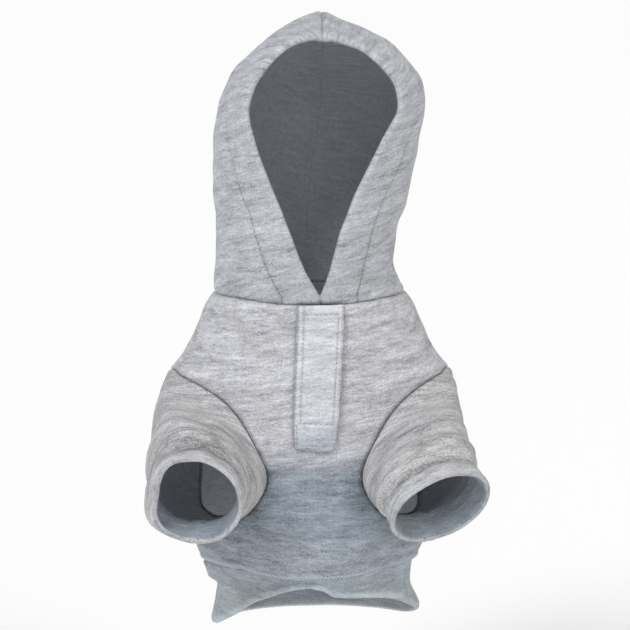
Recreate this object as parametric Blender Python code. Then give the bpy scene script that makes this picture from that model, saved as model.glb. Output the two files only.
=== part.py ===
"""A fleece hoodie for a small dog, in the form that it has when it is worn.

The origin is the middle of the neck seam, +Z is up, -Y is the front and +X is the wearer's left.
Each sewn piece is a wall of cloth between an outer and an inner grid of points. Neighbouring pieces
meet at mitred seams and keep a small gap. All lengths are in metres and all angles in degrees.
Angles around the body start at the front and grow towards the wearer's left.
"""

import bmesh
import bpy
import numpy as np

# Cloth and seams
FLEECE = 0.0022  # one layer of fleece
RIB = 0.0030  # the waistband's folded rib
PLACKET_CLOTH = 0.0026  # the placket's folded strip
HEM_LAYERS = 2.0  # layers of fleece in a turned hem
SEAM_GAP = 0.0003  # clearance between neighbouring pieces
GROOVE = 0.0007  # depth of the line that a row of stitches draws in

# Body
NECK_WIDTH = 0.114
NECK_DEPTH = 0.090
SHOULDER_WIDTH = 0.168
CHEST_DEPTH = 0.121
WAIST_WIDTH = 0.128
WAIST_DEPTH = 0.107
BODY_LENGTH = 0.163  # neck seam to waist seam
ARMHOLE_DROP = 0.047  # neck seam to the top of the armhole
ARMHOLE_HEIGHT = 0.087

# Hood
HOOD_HEIGHT = 0.1687
HOOD_WIDTH = 0.125
HOOD_FRONT = 0.052  # how far the face edge stands in front of the origin
HOOD_BACK = 0.075  # how far the back of the hood stands behind it
HOOD_HEM = 0.025
HOOD_TURN = 0.05  # the crown is turned a little: sideways step for each step back
NOTCH_SHIFT = 0.0044  # the two face edges meet this far to the wearer's left
NOTCH_FADES = 0.3  # the share of the hood's sections over which that shift fades

# Sleeves
SLEEVE_REACH = 0.100  # how far a cuff stands in front of the origin
CUFF_DIAMETER = 0.055
SLEEVE_HEM = 0.015
SLEEVE_TOP_TURN = 62.0  # where the shoulder end of the armhole arrives on the cuff
SLEEVE_SKEW = 1.0  # how soon a sleeve turns along its seam towards the cuff
SLEEVE_ARRIVAL = 0.8  # how far back from the cuff a sleeve runs square to it
SLEEVE_FULL_AT = 1.5  # it swells less where it is shorter than this many cuff diameters

# Placket and waistband
PLACKET_WIDTH = 0.026
PLACKET_LENGTH = 0.085
PLACKET_LIFT = 0.0004  # air between the placket and the chest
BAND_HEIGHT = 0.042

# How finely each piece is divided
SHOULDER_STEPS = 4
ARMHOLE_FRONT_STEPS = 14
ARMHOLE_BACK_STEPS = 10
SIDE_STEPS = 3
FRONT_COLUMNS = 21
BACK_COLUMNS = 19
HOOD_ROWS_MADE = 18
HOOD_COLUMNS_AFTER_HEM = 11
BAND_COLUMNS = 52
PLACKET_ROWS = 17
PLACKET_COLUMNS = 6
ROWS_KEEP_EDGE = 0.35  # how much a body row's middle keeps of the height that it has at its edge
ROW_EASE = 3  # the power with which it eases to that height
ARMHOLE_FINE = 40  # points measured between two rows of the armhole's table
ARC_FINE = 181  # points measured along a row of the hood
FOLD_BULGE = 0.40  # a turned edge stands out this share of the wall's thickness
FOLD_CORNER = 0.18  # and is rounded off by this share of it
CREASE_ANGLE = 50.0  # a sharper edge than this is shaded as an edge


def table(columns, *rows):
    """A small table: a dictionary that gives each named column as an array."""
    values = np.array(rows, dtype=float)
    return {name: values[:, i] for i, name in enumerate(columns.split())}


# Shoulders: down is a share of ARMHOLE_DROP. The oval's width and depth grow from the neck's
# to the shoulder's and the chest's by these shares; forward is a share of CHEST_DEPTH.
SHOULDERS = table(
    "down spread fullness forward",
    (0.00, 0.00, 0.00, 0.008),
    (0.16, 0.20, 0.14, 0.008),
    (0.36, 0.33, 0.30, 0.008),
    (0.62, 0.52, 0.48, 0.010),
    (0.84, 0.75, 0.60, 0.012),
    (0.95, 0.92, 0.64, 0.013),
    (1.00, 1.00, 0.65, 0.013),
)

# Trunk: down is a share of the way from the armhole's top to the waist seam. The oval's width and
# depth grow from the waist's to the shoulder's and the chest's.
TRUNK = table(
    "down spread fullness forward",
    (0.00, 1.00, 0.22, 0.013),
    (0.06, 0.95, 0.37, 0.014),
    (0.15, 0.81, 0.60, 0.016),
    (0.40, 0.49, 1.00, 0.020),
    (0.70, 0.21, 0.88, 0.017),
    (0.88, 0.12, 0.50, 0.013),
    (1.00, 0.00, 0.00, 0.010),
)

# Soft swells and creases of the body. around and wide are degrees, down and tall are shares of
# BODY_LENGTH, lean is how far it runs down over its own width, out is a share of CHEST_DEPTH.
BODY_FOLDS = table(
    "around down wide tall lean out",
    (-80, 0.94, 42, 0.050, 0.00, 0.026),  # cloth bagging over the band on the right
    (80, 0.93, 42, 0.050, 0.00, 0.022),  # and on the left
    (0, 0.93, 55, 0.045, 0.00, 0.008),
    (-50, 0.950, 16, 0.030, 0.10, -0.018),  # crease above the band
    (-24, 0.80, 9, 0.090, 0.10, 0.010),  # soft folds under the sleeves
    (28, 0.82, 10, 0.080, -0.10, 0.010),
)

# The armhole, from its top round the front: down is a share of ARMHOLE_HEIGHT below its top, lift is
# how steeply the sleeve stands away from the body there, and reach is how long it keeps that way.
ARMHOLE = table(
    "around down lift reach",
    (92, 0.00, 20, 0.50),  # top, at the shoulder seam
    (62, 0.01, 30, 0.70),
    (40, 0.14, 50, 0.90),
    (27.5, 0.40, 75, 1.00),
    (23, 0.67, 98, 1.00),
    (38, 0.92, 103, 1.00),
    (66, 1.00, 95, 1.00),  # bottom, at the side seam
    (95, 0.89, 80, 0.90),
    (112, 0.59, 60, 0.75),
    (110, 0.22, 40, 0.60),
)
ARMHOLE_BOTTOM = 6  # its row in the table
SHOULDER_SEAM_AT_NECK = 90  # degrees around the body
SIDE_SEAM_AT_WAIST = 78

# The cuffs: across is a share of half the SHOULDER_WIDTH, forward of SLEEVE_REACH and down of
# BODY_LENGTH; wide and tall are shares of CUFF_DIAMETER; pitch is down, yaw is outward; fullness
# lengthens the armhole's reach.
CUFFS = table(
    "side across forward down pitch yaw roll wide tall fullness",
    (-1, 0.845, 1.00, 0.648, 18, 10, 0, 1.00, 1.03, 1.6),
    (1, 0.833, 0.90, 0.693, 32, 21, 25, 1.10, 0.90, 0.95),
)

# How a sleeve swells on its way from the armhole to the hem line, as shares of CUFF_DIAMETER.
SLEEVE_PUFF = table(
    "along out",
    (0.00, 0.000),
    (0.10, 0.012),
    (0.35, 0.040),
    (0.62, 0.070),
    (0.82, 0.085),
    (0.93, 0.045),
    (1.00, -0.025),
)
SLEEVE_ROWS = (0.0, 0.07, 0.17, 0.29, 0.42, 0.55, 0.67, 0.78, 0.87, 0.94, 1.0)
CUFF_HEM = table(
    "along out layers",
    (0.00, -0.025, 1.0),
    (0.16, -0.005, 2.0),
    (0.55, 0.020, 2.0),
    (1.00, 0.015, 2.0),
)

# The hood, a row for each section from the neck seam (along 0) up to the crown seam (along 1).
# rise, brow and nape are heights at the side, face edge and back, as shares of HOOD_HEIGHT.
# width is a share of HOOD_WIDTH, skew is how much fuller the wearer's left side is, and face is how
# much of the width the face edge leaves open.
# front is a share of HOOD_FRONT; middle and back are shares of HOOD_BACK; lean of HOOD_WIDTH.
HOOD = table(
    "along rise width skew face brow front middle back nape lean",
    (0.000, 0.000, 0.912, 0.00, 0.000, 0.000, 0.885, -0.013, 0.587, 0.000, 0.000),
    (0.090, 0.107, 0.854, -0.06, 0.185, 0.113, 0.980, 0.000, 0.693, 0.095, 0.000),
    (0.185, 0.219, 0.869, -0.03, 0.310, 0.231, 1.000, 0.027, 0.800, 0.190, 0.002),
    (0.260, 0.308, 0.910, 0.00, 0.400, 0.320, 0.971, 0.040, 0.880, 0.267, 0.008),
    (0.450, 0.533, 0.992, 0.00, 0.640, 0.545, 0.904, 0.067, 0.993, 0.462, 0.032),
    (0.560, 0.664, 1.000, 0.00, 0.755, 0.670, 0.865, 0.080, 1.000, 0.575, 0.056),
    (0.630, 0.747, 0.950, 0.01, 0.755, 0.750, 0.846, 0.093, 0.987, 0.634, 0.060),
    (0.700, 0.809, 0.846, 0.03, 0.745, 0.809, 0.846, 0.107, 0.947, 0.679, 0.060),
    (0.780, 0.871, 0.680, 0.06, 0.745, 0.862, 0.846, 0.107, 0.907, 0.717, 0.060),
    (0.860, 0.925, 0.485, 0.10, 0.700, 0.909, 0.846, 0.107, 0.867, 0.750, 0.060),
    (0.930, 0.963, 0.295, 0.13, 0.560, 0.930, 0.846, 0.107, 0.833, 0.774, 0.060),
    (0.975, 0.991, 0.110, 0.13, 0.520, 0.937, 0.846, 0.107, 0.807, 0.791, 0.060),
    (1.000, 1.000, 0.000, 0.13, 0.500, 0.939, 0.846, 0.107, 0.800, 0.800, 0.060),
)

# Columns of the face hem, as shares of HOOD_HEM, with its layers of cloth and its stitched groove.
FACE_HEM = table(
    "along layers groove",
    (0.00, 2.0, 0.0),
    (0.35, 2.0, 0.0),
    (0.70, 2.0, 0.0),
    (0.93, 2.0, 0.0),
    (1.00, 1.5, 1.0),
    (1.08, 1.0, 0.0),
)

# The placket: down is a share of PLACKET_LENGTH, width of PLACKET_WIDTH and shift of PLACKET_WIDTH.
PLACKET = table(
    "down width shift",
    (0.00, 1.00, 0.127),
    (0.15, 1.00, 0.110),
    (0.30, 0.985, 0.090),
    (0.45, 0.97, 0.070),
    (0.60, 0.95, 0.045),
    (0.75, 0.93, 0.020),
    (0.88, 0.91, -0.005),
    (0.96, 0.89, -0.015),
    (1.00, 0.76, -0.015),
)

# The waistband's lower edge: drop is a share of BAND_HEIGHT below the waist seam.
BAND_EDGE = table(
    "around drop",
    (-180, 1.00),
    (-115, 0.98),
    (-80, 0.88),
    (-52, 0.62),
    (-36, 0.32),
    (-18, 0.21),
    (0, 0.20),
    (15, 0.26),
    (45, 0.37),
    (80, 0.69),
    (120, 0.95),
    (180, 1.00),
)

# Sections of the band from its seam (down 0) to its edge (down 1): girth is a share of the waist's
# and shift, to the wearer's left, is a share of WAIST_WIDTH.
BAND = table(
    "down girth shift",
    (0.00, 0.985, 0.000),
    (0.12, 0.945, 0.006),
    (0.45, 0.920, 0.014),
    (0.85, 0.950, 0.016),
    (1.00, 0.960, 0.015),
)


def material(name, colour, roughness):
    """One matt cloth finish."""
    made = bpy.data.materials.new(name)
    made.use_nodes = True
    shader = made.node_tree.nodes["Principled BSDF"]
    shader.inputs["Base Color"].default_value = (*colour, 1.0)
    shader.inputs["Roughness"].default_value = roughness
    shader.inputs["Metallic"].default_value = 0.0
    return made


def unit(vectors):
    return vectors / np.linalg.norm(vectors, axis=-1, keepdims=True)


def dot(first, second):
    return np.sum(first * second, axis=-1, keepdims=True)


def curve_through(places, values, at):
    """A smooth curve through a table's points that never swings past them (a monotone cubic)."""
    step = np.diff(places)
    slope = np.diff(values) / step
    same_way = slope[:-1] * slope[1:] > 0
    total = np.where(same_way, slope[:-1] + slope[1:], 1.0)
    inner = np.where(same_way, 2.0 * slope[:-1] * slope[1:] / total, 0.0)
    tangent = np.concatenate([slope[:1], inner, slope[-1:]])
    at = np.clip(at, places[0], places[-1])
    i = np.clip(np.searchsorted(places, at, side="right") - 1, 0, len(step) - 1)
    t = (at - places[i]) / step[i]
    start, end = values[i], values[i + 1]
    leave, arrive = tangent[i] * step[i], tangent[i + 1] * step[i]
    return hermite(start, leave, end, arrive, t)


def hermite(start, leave, end, arrive, t):
    """The cubic curve from start to end with the given end tangents, at the shares t."""
    smooth = t * t * (3.0 - 2.0 * t)
    return (1.0 - smooth) * start + smooth * end + t * (1 - t) ** 2 * leave - t * t * (1 - t) * arrive


def loop_through(values, at):
    """A closed smooth curve through a column's values (Catmull-Rom), at places counted in rows."""
    i = np.floor(at).astype(int)
    before, start, end, after = (np.take(values, i + k, mode="wrap") for k in (-1, 0, 1, 2))
    return hermite(start, 0.5 * (end - before), end, 0.5 * (after - start), at - i)


def blend(first, second, share):
    return first + (second - first) * share


def tangents(line, ring):
    """The direction along a line of points, closed or open."""
    if ring:
        return unit(np.roll(line, -1, axis=0) - np.roll(line, 1, axis=0))
    return unit(np.gradient(line, axis=0))


def grid_normals(grid, ring):
    """Unit normals of a grid of points whose columns may close into a ring."""
    across = np.roll(grid, -1, 1) - np.roll(grid, 1, 1) if ring else np.gradient(grid, axis=1)
    return unit(np.cross(np.gradient(grid, axis=0), across))


def mitre(first, second, thickness):
    """The step inward that two walls share at a seam, from their outward normals."""
    return -thickness * (first + second) / (1.0 + dot(first, second))


def level_step(normal, thickness):
    """The level step inward that keeps the wall's thickness at a level seam."""
    flat = normal * (1.0, 1.0, 0.0)
    return -thickness * flat / dot(flat, flat)


def clearance(line, step, toward, ring=False):
    """Half a seam gap, at right angles to the seam's face, to the side that toward points to."""
    away = unit(np.cross(tangents(line, ring), step))
    return 0.5 * SEAM_GAP * away * np.sign(dot(away, toward))


def body_section(z):
    """Half width, half depth and middle of the body's oval at height z."""
    upper = np.clip(-z / ARMHOLE_DROP, 0.0, 1.0)
    lower = np.clip((-z - ARMHOLE_DROP) / (BODY_LENGTH - ARMHOLE_DROP), 0.0, 1.0)
    above = -z < ARMHOLE_DROP

    def read(column):
        high = curve_through(SHOULDERS["down"], SHOULDERS[column], upper)
        return high, curve_through(TRUNK["down"], TRUNK[column], lower)

    high_spread, low_spread = read("spread")
    high_fullness, low_fullness = read("fullness")
    high_forward, low_forward = read("forward")
    high_width = blend(NECK_WIDTH, SHOULDER_WIDTH, high_spread)
    low_width = blend(WAIST_WIDTH, SHOULDER_WIDTH, low_spread)
    high_depth = blend(NECK_DEPTH, CHEST_DEPTH, high_fullness)
    low_depth = blend(WAIST_DEPTH, CHEST_DEPTH, low_fullness)
    width = np.where(above, high_width, low_width)
    depth = np.where(above, high_depth, low_depth)
    forward = np.where(above, high_forward, low_forward)
    return 0.5 * width, 0.5 * depth, -forward * CHEST_DEPTH


def body_swell(around, z):
    """How far the cloth swells out or creases in, summed over the table of folds."""
    total = np.zeros_like(around)
    for at, down, wide, tall, lean, out in zip(*BODY_FOLDS.values()):
        turn = ((around - at + 180.0) % 360.0 - 180.0) / wide
        fall = (-z / BODY_LENGTH - down - lean * turn) / tall
        total = total + out * CHEST_DEPTH * np.exp(-turn * turn - fall * fall)
    return total


def body_point(around, z):
    """The body's outer face at an angle and a height, both arrays of one shape."""
    around, z = np.broadcast_arrays(np.asarray(around, float), np.asarray(z, float))
    half_width, half_depth, middle = body_section(z)
    turn = np.radians(around)
    swell = body_swell(around, z)
    x = (half_width + swell) * np.sin(turn)
    y = middle - (half_depth + swell) * np.cos(turn)
    return np.stack([x, y, z], axis=-1)


def body_normal(around, z):
    """The body's outward normal, from two short steps on its face."""
    turn, fall = 0.5, 0.0005
    across = body_point(around + turn, z) - body_point(around - turn, z)
    down = body_point(around, z - fall) - body_point(around, z + fall)
    return unit(np.cross(down, across))


def armhole(side):
    """The armhole's seam on one side, with all that the body and the sleeve need to meet there."""
    fine = ARMHOLE_FINE
    count = len(ARMHOLE["around"])
    places = np.arange(count * fine + 1) / fine
    around = side * loop_through(ARMHOLE["around"], places)
    z = -ARMHOLE_DROP - ARMHOLE_HEIGHT * loop_through(ARMHOLE["down"], places)
    line = body_point(around, z)
    length = np.concatenate([[0.0], np.cumsum(np.linalg.norm(np.diff(line, axis=0), axis=1))])
    bottom = length[ARMHOLE_BOTTOM * fine]
    front = np.linspace(0.0, bottom, ARMHOLE_FRONT_STEPS + 1)
    back = np.linspace(bottom, length[-1], ARMHOLE_BACK_STEPS + 1)
    marks = np.concatenate([front, back[1:-1]])
    at = np.interp(marks, length, places)
    seam = {"around": side * loop_through(ARMHOLE["around"], at), "share": marks / length[-1]}
    seam["z"] = -ARMHOLE_DROP - ARMHOLE_HEIGHT * loop_through(ARMHOLE["down"], at)
    seam["points"] = body_point(seam["around"], seam["z"])
    normal = body_normal(seam["around"], seam["z"])
    seam["along"] = tangents(seam["points"], ring=True)
    into = np.cross(seam["along"], normal)
    centre = seam["points"].mean(axis=0)
    into = unit(into * np.sign(np.sum(into * (centre - seam["points"]))))
    lift = np.radians(loop_through(ARMHOLE["lift"], at))[:, None]
    seam["leave"] = np.cos(lift) * into + np.sin(lift) * normal
    seam["into"] = into
    seam["reach"] = loop_through(ARMHOLE["reach"], at)[:, None]
    seam["sleeve_normal"] = np.cos(lift) * normal - np.sin(lift) * into
    seam["step"] = mitre(normal, seam["sleeve_normal"], FLEECE)
    return seam


def split_quad(made, a, b, c, d):
    """Two triangles, cut along the shorter diagonal, so that both sides of a seam are cut alike."""
    if (a.co - c.co).length < (b.co - d.co).length:
        made.faces.new((a, b, c))
        made.faces.new((a, c, d))
    else:
        made.faces.new((b, c, d))
        made.faces.new((b, d, a))


def wall(name, outer, inner, cloth, ring=False, folded=()):
    """One closed solid between an outer and an inner grid of points.

    A ring joins its last column to its first. The rim is flat, but on the sides named in folded it
    is rounded, as cloth is that is turned back on itself.
    """
    rows, columns = outer.shape[:2]
    made = bmesh.new()
    skins = [[[made.verts.new(point) for point in row] for row in grid] for grid in (outer, inner)]
    across = list(range(columns)) + [0] * ring
    for skin in skins:
        for upper, lower in zip(skin, skin[1:]):
            for a, b in zip(across, across[1:]):
                made.faces.new((upper[a], upper[b], lower[b], lower[a]))

    first = [(0, c) for c in range(columns)]
    last = [(rows - 1, c) for c in range(columns)]
    left = [(r, 0) for r in range(rows)]
    right = [(r, columns - 1) for r in range(rows)]
    rims = [first, last] if ring else [first[:-1] + right[:-1] + last[:0:-1] + left[:0:-1]]
    sides = {"first": (first, 1, 0), "last": (last, -1, 0), "left": (left, 0, 1), "right": (right, 0, -1)}

    bends = {}
    for side in folded:
        places, down, along = sides[side]
        for r, c in places:
            thickness = inner[r, c] - outer[r, c]
            away = outer[r, c] - outer[r + down, c + along]
            away = away - thickness * np.dot(away, thickness) / np.dot(thickness, thickness)
            away = unit(away) * np.linalg.norm(thickness)
            near = outer[r, c] + FOLD_CORNER * thickness + FOLD_BULGE * away
            far = inner[r, c] - FOLD_CORNER * thickness + FOLD_BULGE * away
            bends[r, c] = [made.verts.new(near), made.verts.new(far)]

    for rim in rims:
        for a, b in zip(rim, rim[1:] + rim[:1]):
            from_a = [skins[0][a[0]][a[1]], *bends.get(a, []), skins[1][a[0]][a[1]]]
            from_b = [skins[0][b[0]][b[1]], *bends.get(b, []), skins[1][b[0]][b[1]]]
            if len(from_a) == len(from_b):
                for k in range(len(from_a) - 1):
                    split_quad(made, from_a[k], from_b[k], from_b[k + 1], from_a[k + 1])
            else:
                made.faces.new(from_a + from_b[::-1])

    bmesh.ops.recalc_face_normals(made, faces=made.faces)
    mesh = bpy.data.meshes.new(name)
    made.to_mesh(mesh)
    made.free()
    mesh.materials.append(cloth)
    mesh.shade_smooth()
    mesh.set_sharp_from_angle(angle=np.radians(CREASE_ANGLE))
    built = bpy.data.objects.new(name, mesh)
    bpy.context.scene.collection.objects.link(built)
    return built


def panel_edge(seam, order):
    """A panel's edge at one side: shoulder seam, its half of the armhole, then the side seam."""
    top, bottom = order[0], order[-1]
    shoulder = np.linspace(0.0, 1.0, SHOULDER_STEPS + 1)[:-1]
    side_seam = np.linspace(0.0, 1.0, SIDE_STEPS + 1)[1:]
    sign = np.sign(seam["around"][0])
    neck_around = sign * SHOULDER_SEAM_AT_NECK
    waist_around = sign * SIDE_SEAM_AT_WAIST
    around = np.concatenate([
        blend(neck_around, seam["around"][top], shoulder),
        seam["around"][order],
        blend(seam["around"][bottom], waist_around, side_seam),
    ])
    z = np.concatenate([
        seam["z"][top] * shoulder,
        seam["z"][order],
        blend(seam["z"][bottom], -BODY_LENGTH, side_seam),
    ])
    return around, z


def body_panel(name, cloth, order, columns, behind):
    """The front or the back of the body, cut out at both armholes.

    Each row runs from one edge to the other. It starts at the edge's height and eases to an evenly
    spaced height in the middle.
    """
    left, right = armhole(1), armhole(-1)
    around, z = panel_edge(left, order)
    share = np.linspace(-1.0, 1.0, columns)[None, :]
    even = -BODY_LENGTH * np.linspace(0.0, 1.0, len(z))
    middle = blend(even, z, ROWS_KEEP_EDGE)
    heights = middle[:, None] + (z - middle)[:, None] * np.abs(share) ** ROW_EASE
    if behind:
        turns = 180.0 - (180.0 - around)[:, None] * share
    else:
        turns = around[:, None] * share
    outer = body_point(turns, heights)
    normal = body_normal(turns, heights)
    step = -FLEECE * normal
    step[0] = level_step(normal[0], FLEECE)
    step[-1] = level_step(normal[-1], FLEECE)
    cut = slice(SHOULDER_STEPS, SHOULDER_STEPS + len(order))
    step[cut, -1] = left["step"][order]
    step[cut, 0] = right["step"][order]

    shift = np.zeros_like(outer)
    shift[0, :, 2] -= 0.5 * SEAM_GAP
    shift[-1, :, 2] += 0.5 * SEAM_GAP
    shift[:, -1] += clearance(outer[:, -1], step[:, -1], outer[:, -2] - outer[:, -1])
    shift[:, 0] += clearance(outer[:, 0], step[:, 0], outer[:, 1] - outer[:, 0])
    outer = outer + shift
    return wall(name, outer, outer + step, cloth)


def cuff_frame(row):
    """The cuff's middle, its outward axis and the two axes of its oval."""
    cuff = {name: column[row] for name, column in CUFFS.items()}
    side = cuff["side"]
    pitch, yaw, roll = (np.radians(cuff[name]) for name in ("pitch", "yaw", "roll"))
    ahead = np.cos(pitch)
    axis = np.array([side * np.sin(yaw) * ahead, -np.cos(yaw) * ahead, -np.sin(pitch)])
    lateral = side * np.array([np.cos(yaw), side * np.sin(yaw), 0.0])
    upward = np.cross(axis, lateral) * side
    upward = upward * np.sign(upward[2])
    wide = np.cos(roll) * lateral + np.sin(roll) * upward
    tall = np.cos(roll) * upward - np.sin(roll) * lateral
    centre = np.array([
        side * cuff["across"] * 0.5 * SHOULDER_WIDTH,
        -cuff["forward"] * SLEEVE_REACH,
        -cuff["down"] * BODY_LENGTH,
    ])
    half = 0.5 * CUFF_DIAMETER
    return centre, axis, wide * half * cuff["wide"], tall * half * cuff["tall"], cuff["roll"]


def sleeve(name, cloth, row):
    """A sleeve from its armhole to its turned cuff: a curve leaves each point of the armhole."""
    seam = armhole(CUFFS["side"][row])
    centre, axis, wide, tall, roll = cuff_frame(row)
    turn = np.radians(SLEEVE_TOP_TURN - roll + 360.0 * seam["share"])[:, None]
    rim = centre + np.cos(turn) * wide + np.sin(turn) * tall
    hem_line = rim - SLEEVE_HEM * axis

    start = seam["points"]
    distance = np.linalg.norm(hem_line - start, axis=1, keepdims=True)
    ahead = dot(hem_line - start, seam["along"]) / distance
    leave = seam["leave"] + SLEEVE_SKEW * ahead * seam["along"]
    t = np.array(SLEEVE_ROWS)[:, None, None]
    arrive = SLEEVE_ARRIVAL * distance * axis
    reach = np.minimum(1.0, seam["reach"] * CUFFS["fullness"][row])
    grid = hermite(start, distance * reach * leave, hem_line, arrive, t)
    hem = CUFF_HEM["along"][1:, None, None]
    grid = np.concatenate([grid, blend(hem_line[None], rim[None], hem)])

    normal = grid_normals(grid, ring=True)
    normal[0] = seam["sleeve_normal"]
    normal[1:] *= np.sign(np.sum(normal[1] * normal[0]))
    puff = curve_through(SLEEVE_PUFF["along"], SLEEVE_PUFF["out"], t)
    puff = puff * np.minimum(1.0, distance / (SLEEVE_FULL_AT * CUFF_DIAMETER))
    hem_swell = np.broadcast_to(CUFF_HEM["out"][1:, None, None], (len(hem), *puff.shape[1:]))
    swell = np.concatenate([puff, hem_swell]) * CUFF_DIAMETER
    outer = grid + normal * swell
    normal = grid_normals(outer, ring=True)
    normal[0] = seam["sleeve_normal"]
    normal[1:] *= np.sign(np.sum(normal[1] * normal[0]))

    layers = np.concatenate([np.ones(len(SLEEVE_ROWS)), CUFF_HEM["layers"][1:]])
    step = -normal * FLEECE * layers[:, None, None]
    step[0] = seam["step"]
    outer[0] = outer[0] + clearance(start, seam["step"], seam["into"], ring=True)
    return wall(name, outer, outer + step, cloth, ring=True, folded=("last",))


def hood_grid(side):
    """One shell of the hood: rows from the neck seam to the crown, columns from face to back.

    Each row is an oval arc. It starts at the face edge, is widest at the side of the head and ends
    square to the middle of the back. Its height changes with the square of the cosine, so that it
    is level at the side and where it meets the other shell.
    """
    along = np.linspace(0.0, 1.0, HOOD_ROWS_MADE)
    at = {name: curve_through(HOOD["along"], HOOD[name], along)[:, None] for name in HOOD}
    half = 0.5 * HOOD_WIDTH * at["width"] * (1.0 + side * at["skew"])
    half[0] = 0.5 * NECK_WIDTH
    height = HOOD_HEIGHT * at["rise"]
    brow = HOOD_HEIGHT * at["brow"]
    nape = HOOD_HEIGHT * at["nape"]
    middle = HOOD_BACK * at["middle"]
    back = HOOD_BACK * at["back"]
    front = -HOOD_FRONT * at["front"]

    narrowest = 0.5 * HEM_LAYERS * FLEECE + SEAM_GAP
    fade = np.clip(1.0 - at["along"] / NOTCH_FADES, 0.0, 1.0)
    per_half = 1.0 / np.maximum(half, narrowest)
    open_share = np.maximum(at["face"], narrowest * per_half * (fade > 0.0))
    open_share = open_share + side * fade * NOTCH_SHIFT * per_half
    edge_turn = np.arcsin(open_share)
    turn = edge_turn + (np.pi - edge_turn) * np.linspace(0.0, 1.0, ARC_FINE)[None, :]
    sine, cosine = np.sin(turn), np.cos(turn)
    before = (middle - front) / np.cos(edge_turn)
    before[0] = 0.5 * NECK_DEPTH
    behind = back - middle
    behind[0] = 0.5 * NECK_DEPTH
    middle[0] = body_section(np.zeros(1))[2]
    y = middle - np.where(cosine > 0.0, before, behind) * cosine
    x = HOOD_WIDTH * at["lean"] + side * half * sine + HOOD_TURN * at["rise"] * y
    to_face = (brow - height) * (cosine / np.cos(edge_turn)) ** 2
    to_back = (nape - height) * cosine**2
    z = height + np.where(cosine > 0.0, to_face, to_back)
    arcs = np.stack([x, y, z], axis=-1)

    hem = FACE_HEM["along"] * HOOD_HEM
    rows = []
    for arc in arcs:
        length = np.concatenate([[0.0], np.cumsum(np.linalg.norm(np.diff(arc, axis=0), axis=1))])
        after = np.linspace(hem[-1], length[-1], HOOD_COLUMNS_AFTER_HEM + 1)[1:]
        marks = np.concatenate([hem, after])
        rows.append(np.stack([np.interp(marks, length, arc[:, k]) for k in range(3)], axis=-1))
    return np.array(rows)


def hood(name, cloth, side):
    """A hood shell with its face edge turned in as a wide stitched hem."""
    grids = {s: hood_grid(s) for s in (side, -side)}
    normals = {}
    for s, grid in grids.items():
        normal = grid_normals(grid, ring=False)
        normal[-1, -1] = unit(normal[-1, -2] + normal[-2, -1])
        outward = np.sign(np.sum(normal[..., 0] * s))
        normals[s] = normal * outward
    grid, normal, other = grids[side], normals[side], normals[-side]

    columns = grid.shape[1]
    layers = np.concatenate([FACE_HEM["layers"], np.ones(columns - len(FACE_HEM["layers"]))])
    groove = np.concatenate([FACE_HEM["groove"], np.zeros(columns - len(FACE_HEM["groove"]))])
    thickness = FLEECE * layers[None, :, None]
    step = -normal * thickness
    step[-1] = mitre(normal[-1], other[-1], thickness[0])
    step[:, -1] = mitre(normal[:, -1], other[:, -1], FLEECE)
    step[0] = level_step(normal[0], thickness[0])
    step[0, -1] = level_step(unit(normal[0, -1] + other[0, -1]), FLEECE)

    drawn_in = GROOVE / FLEECE * groove[None, :, None] / layers[None, :, None]
    outer = grid + step * drawn_in
    step = step * (1.0 - drawn_in)
    shift = np.zeros_like(outer)
    shift[0, :, 2] += 0.5 * SEAM_GAP
    shift[-1] += clearance(grid[-1], step[-1], grid[-2] - grid[-1])
    shift[:, -1] += clearance(grid[:, -1], step[:, -1], grid[:, -2] - grid[:, -1])
    outer = outer + shift
    return wall(name, outer, outer + step, cloth, folded=("left",))


def placket(name, cloth):
    """The folded strip that lies on the chest, a little proud of it, with its free edge to the left."""
    across = np.linspace(-0.5, 0.5, PLACKET_COLUMNS)[None, :]
    down = np.linspace(0.0, 1.0, PLACKET_ROWS)[:, None]
    width = curve_through(PLACKET["down"], PLACKET["width"], down)
    shift = curve_through(PLACKET["down"], PLACKET["shift"], down)
    x = PLACKET_WIDTH * (shift + across * width)
    z = -SEAM_GAP - PLACKET_LENGTH * down + 0.0 * x
    half_width = body_section(z)[0]
    around = np.degrees(np.arcsin(x / half_width))
    under = body_point(around, z)
    normal = body_normal(around, z)
    normal[0, :, 2] = 0.0
    inner = under + normal * PLACKET_LIFT
    return wall(name, inner + normal * PLACKET_CLOTH, inner, cloth)


def waistband(name, cloth):
    """The ribbed band: it hangs from the level waist seam to an edge that is cut high in front."""
    around = np.linspace(-180.0, 180.0, BAND_COLUMNS, endpoint=False)[None, :]
    drop = curve_through(BAND_EDGE["around"], BAND_EDGE["drop"], around) * BAND_HEIGHT
    down = BAND["down"][:, None]
    girth = BAND["girth"][:, None]
    turn = np.radians(around)
    middle = body_section(np.array([-BODY_LENGTH]))[2]
    x = WAIST_WIDTH * (BAND["shift"][:, None] + 0.5 * girth * np.sin(turn))
    y = middle - 0.5 * WAIST_DEPTH * girth * np.cos(turn)
    z = -BODY_LENGTH - 0.5 * SEAM_GAP - drop * down
    outer = np.stack(np.broadcast_arrays(x, y, z), axis=-1)
    outward = unit(np.stack([np.sin(turn) / WAIST_WIDTH, -np.cos(turn) / WAIST_DEPTH, 0.0 * turn], axis=-1))
    return wall(name, outer, outer - RIB * outward, cloth, ring=True, folded=("last",))


for existing in list(bpy.data.objects):
    bpy.data.objects.remove(existing, do_unlink=True)

fleece = material("marl_fleece", (0.47, 0.48, 0.50), 0.95)
rib = material("marl_rib", (0.36, 0.39, 0.43), 0.92)

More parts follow.
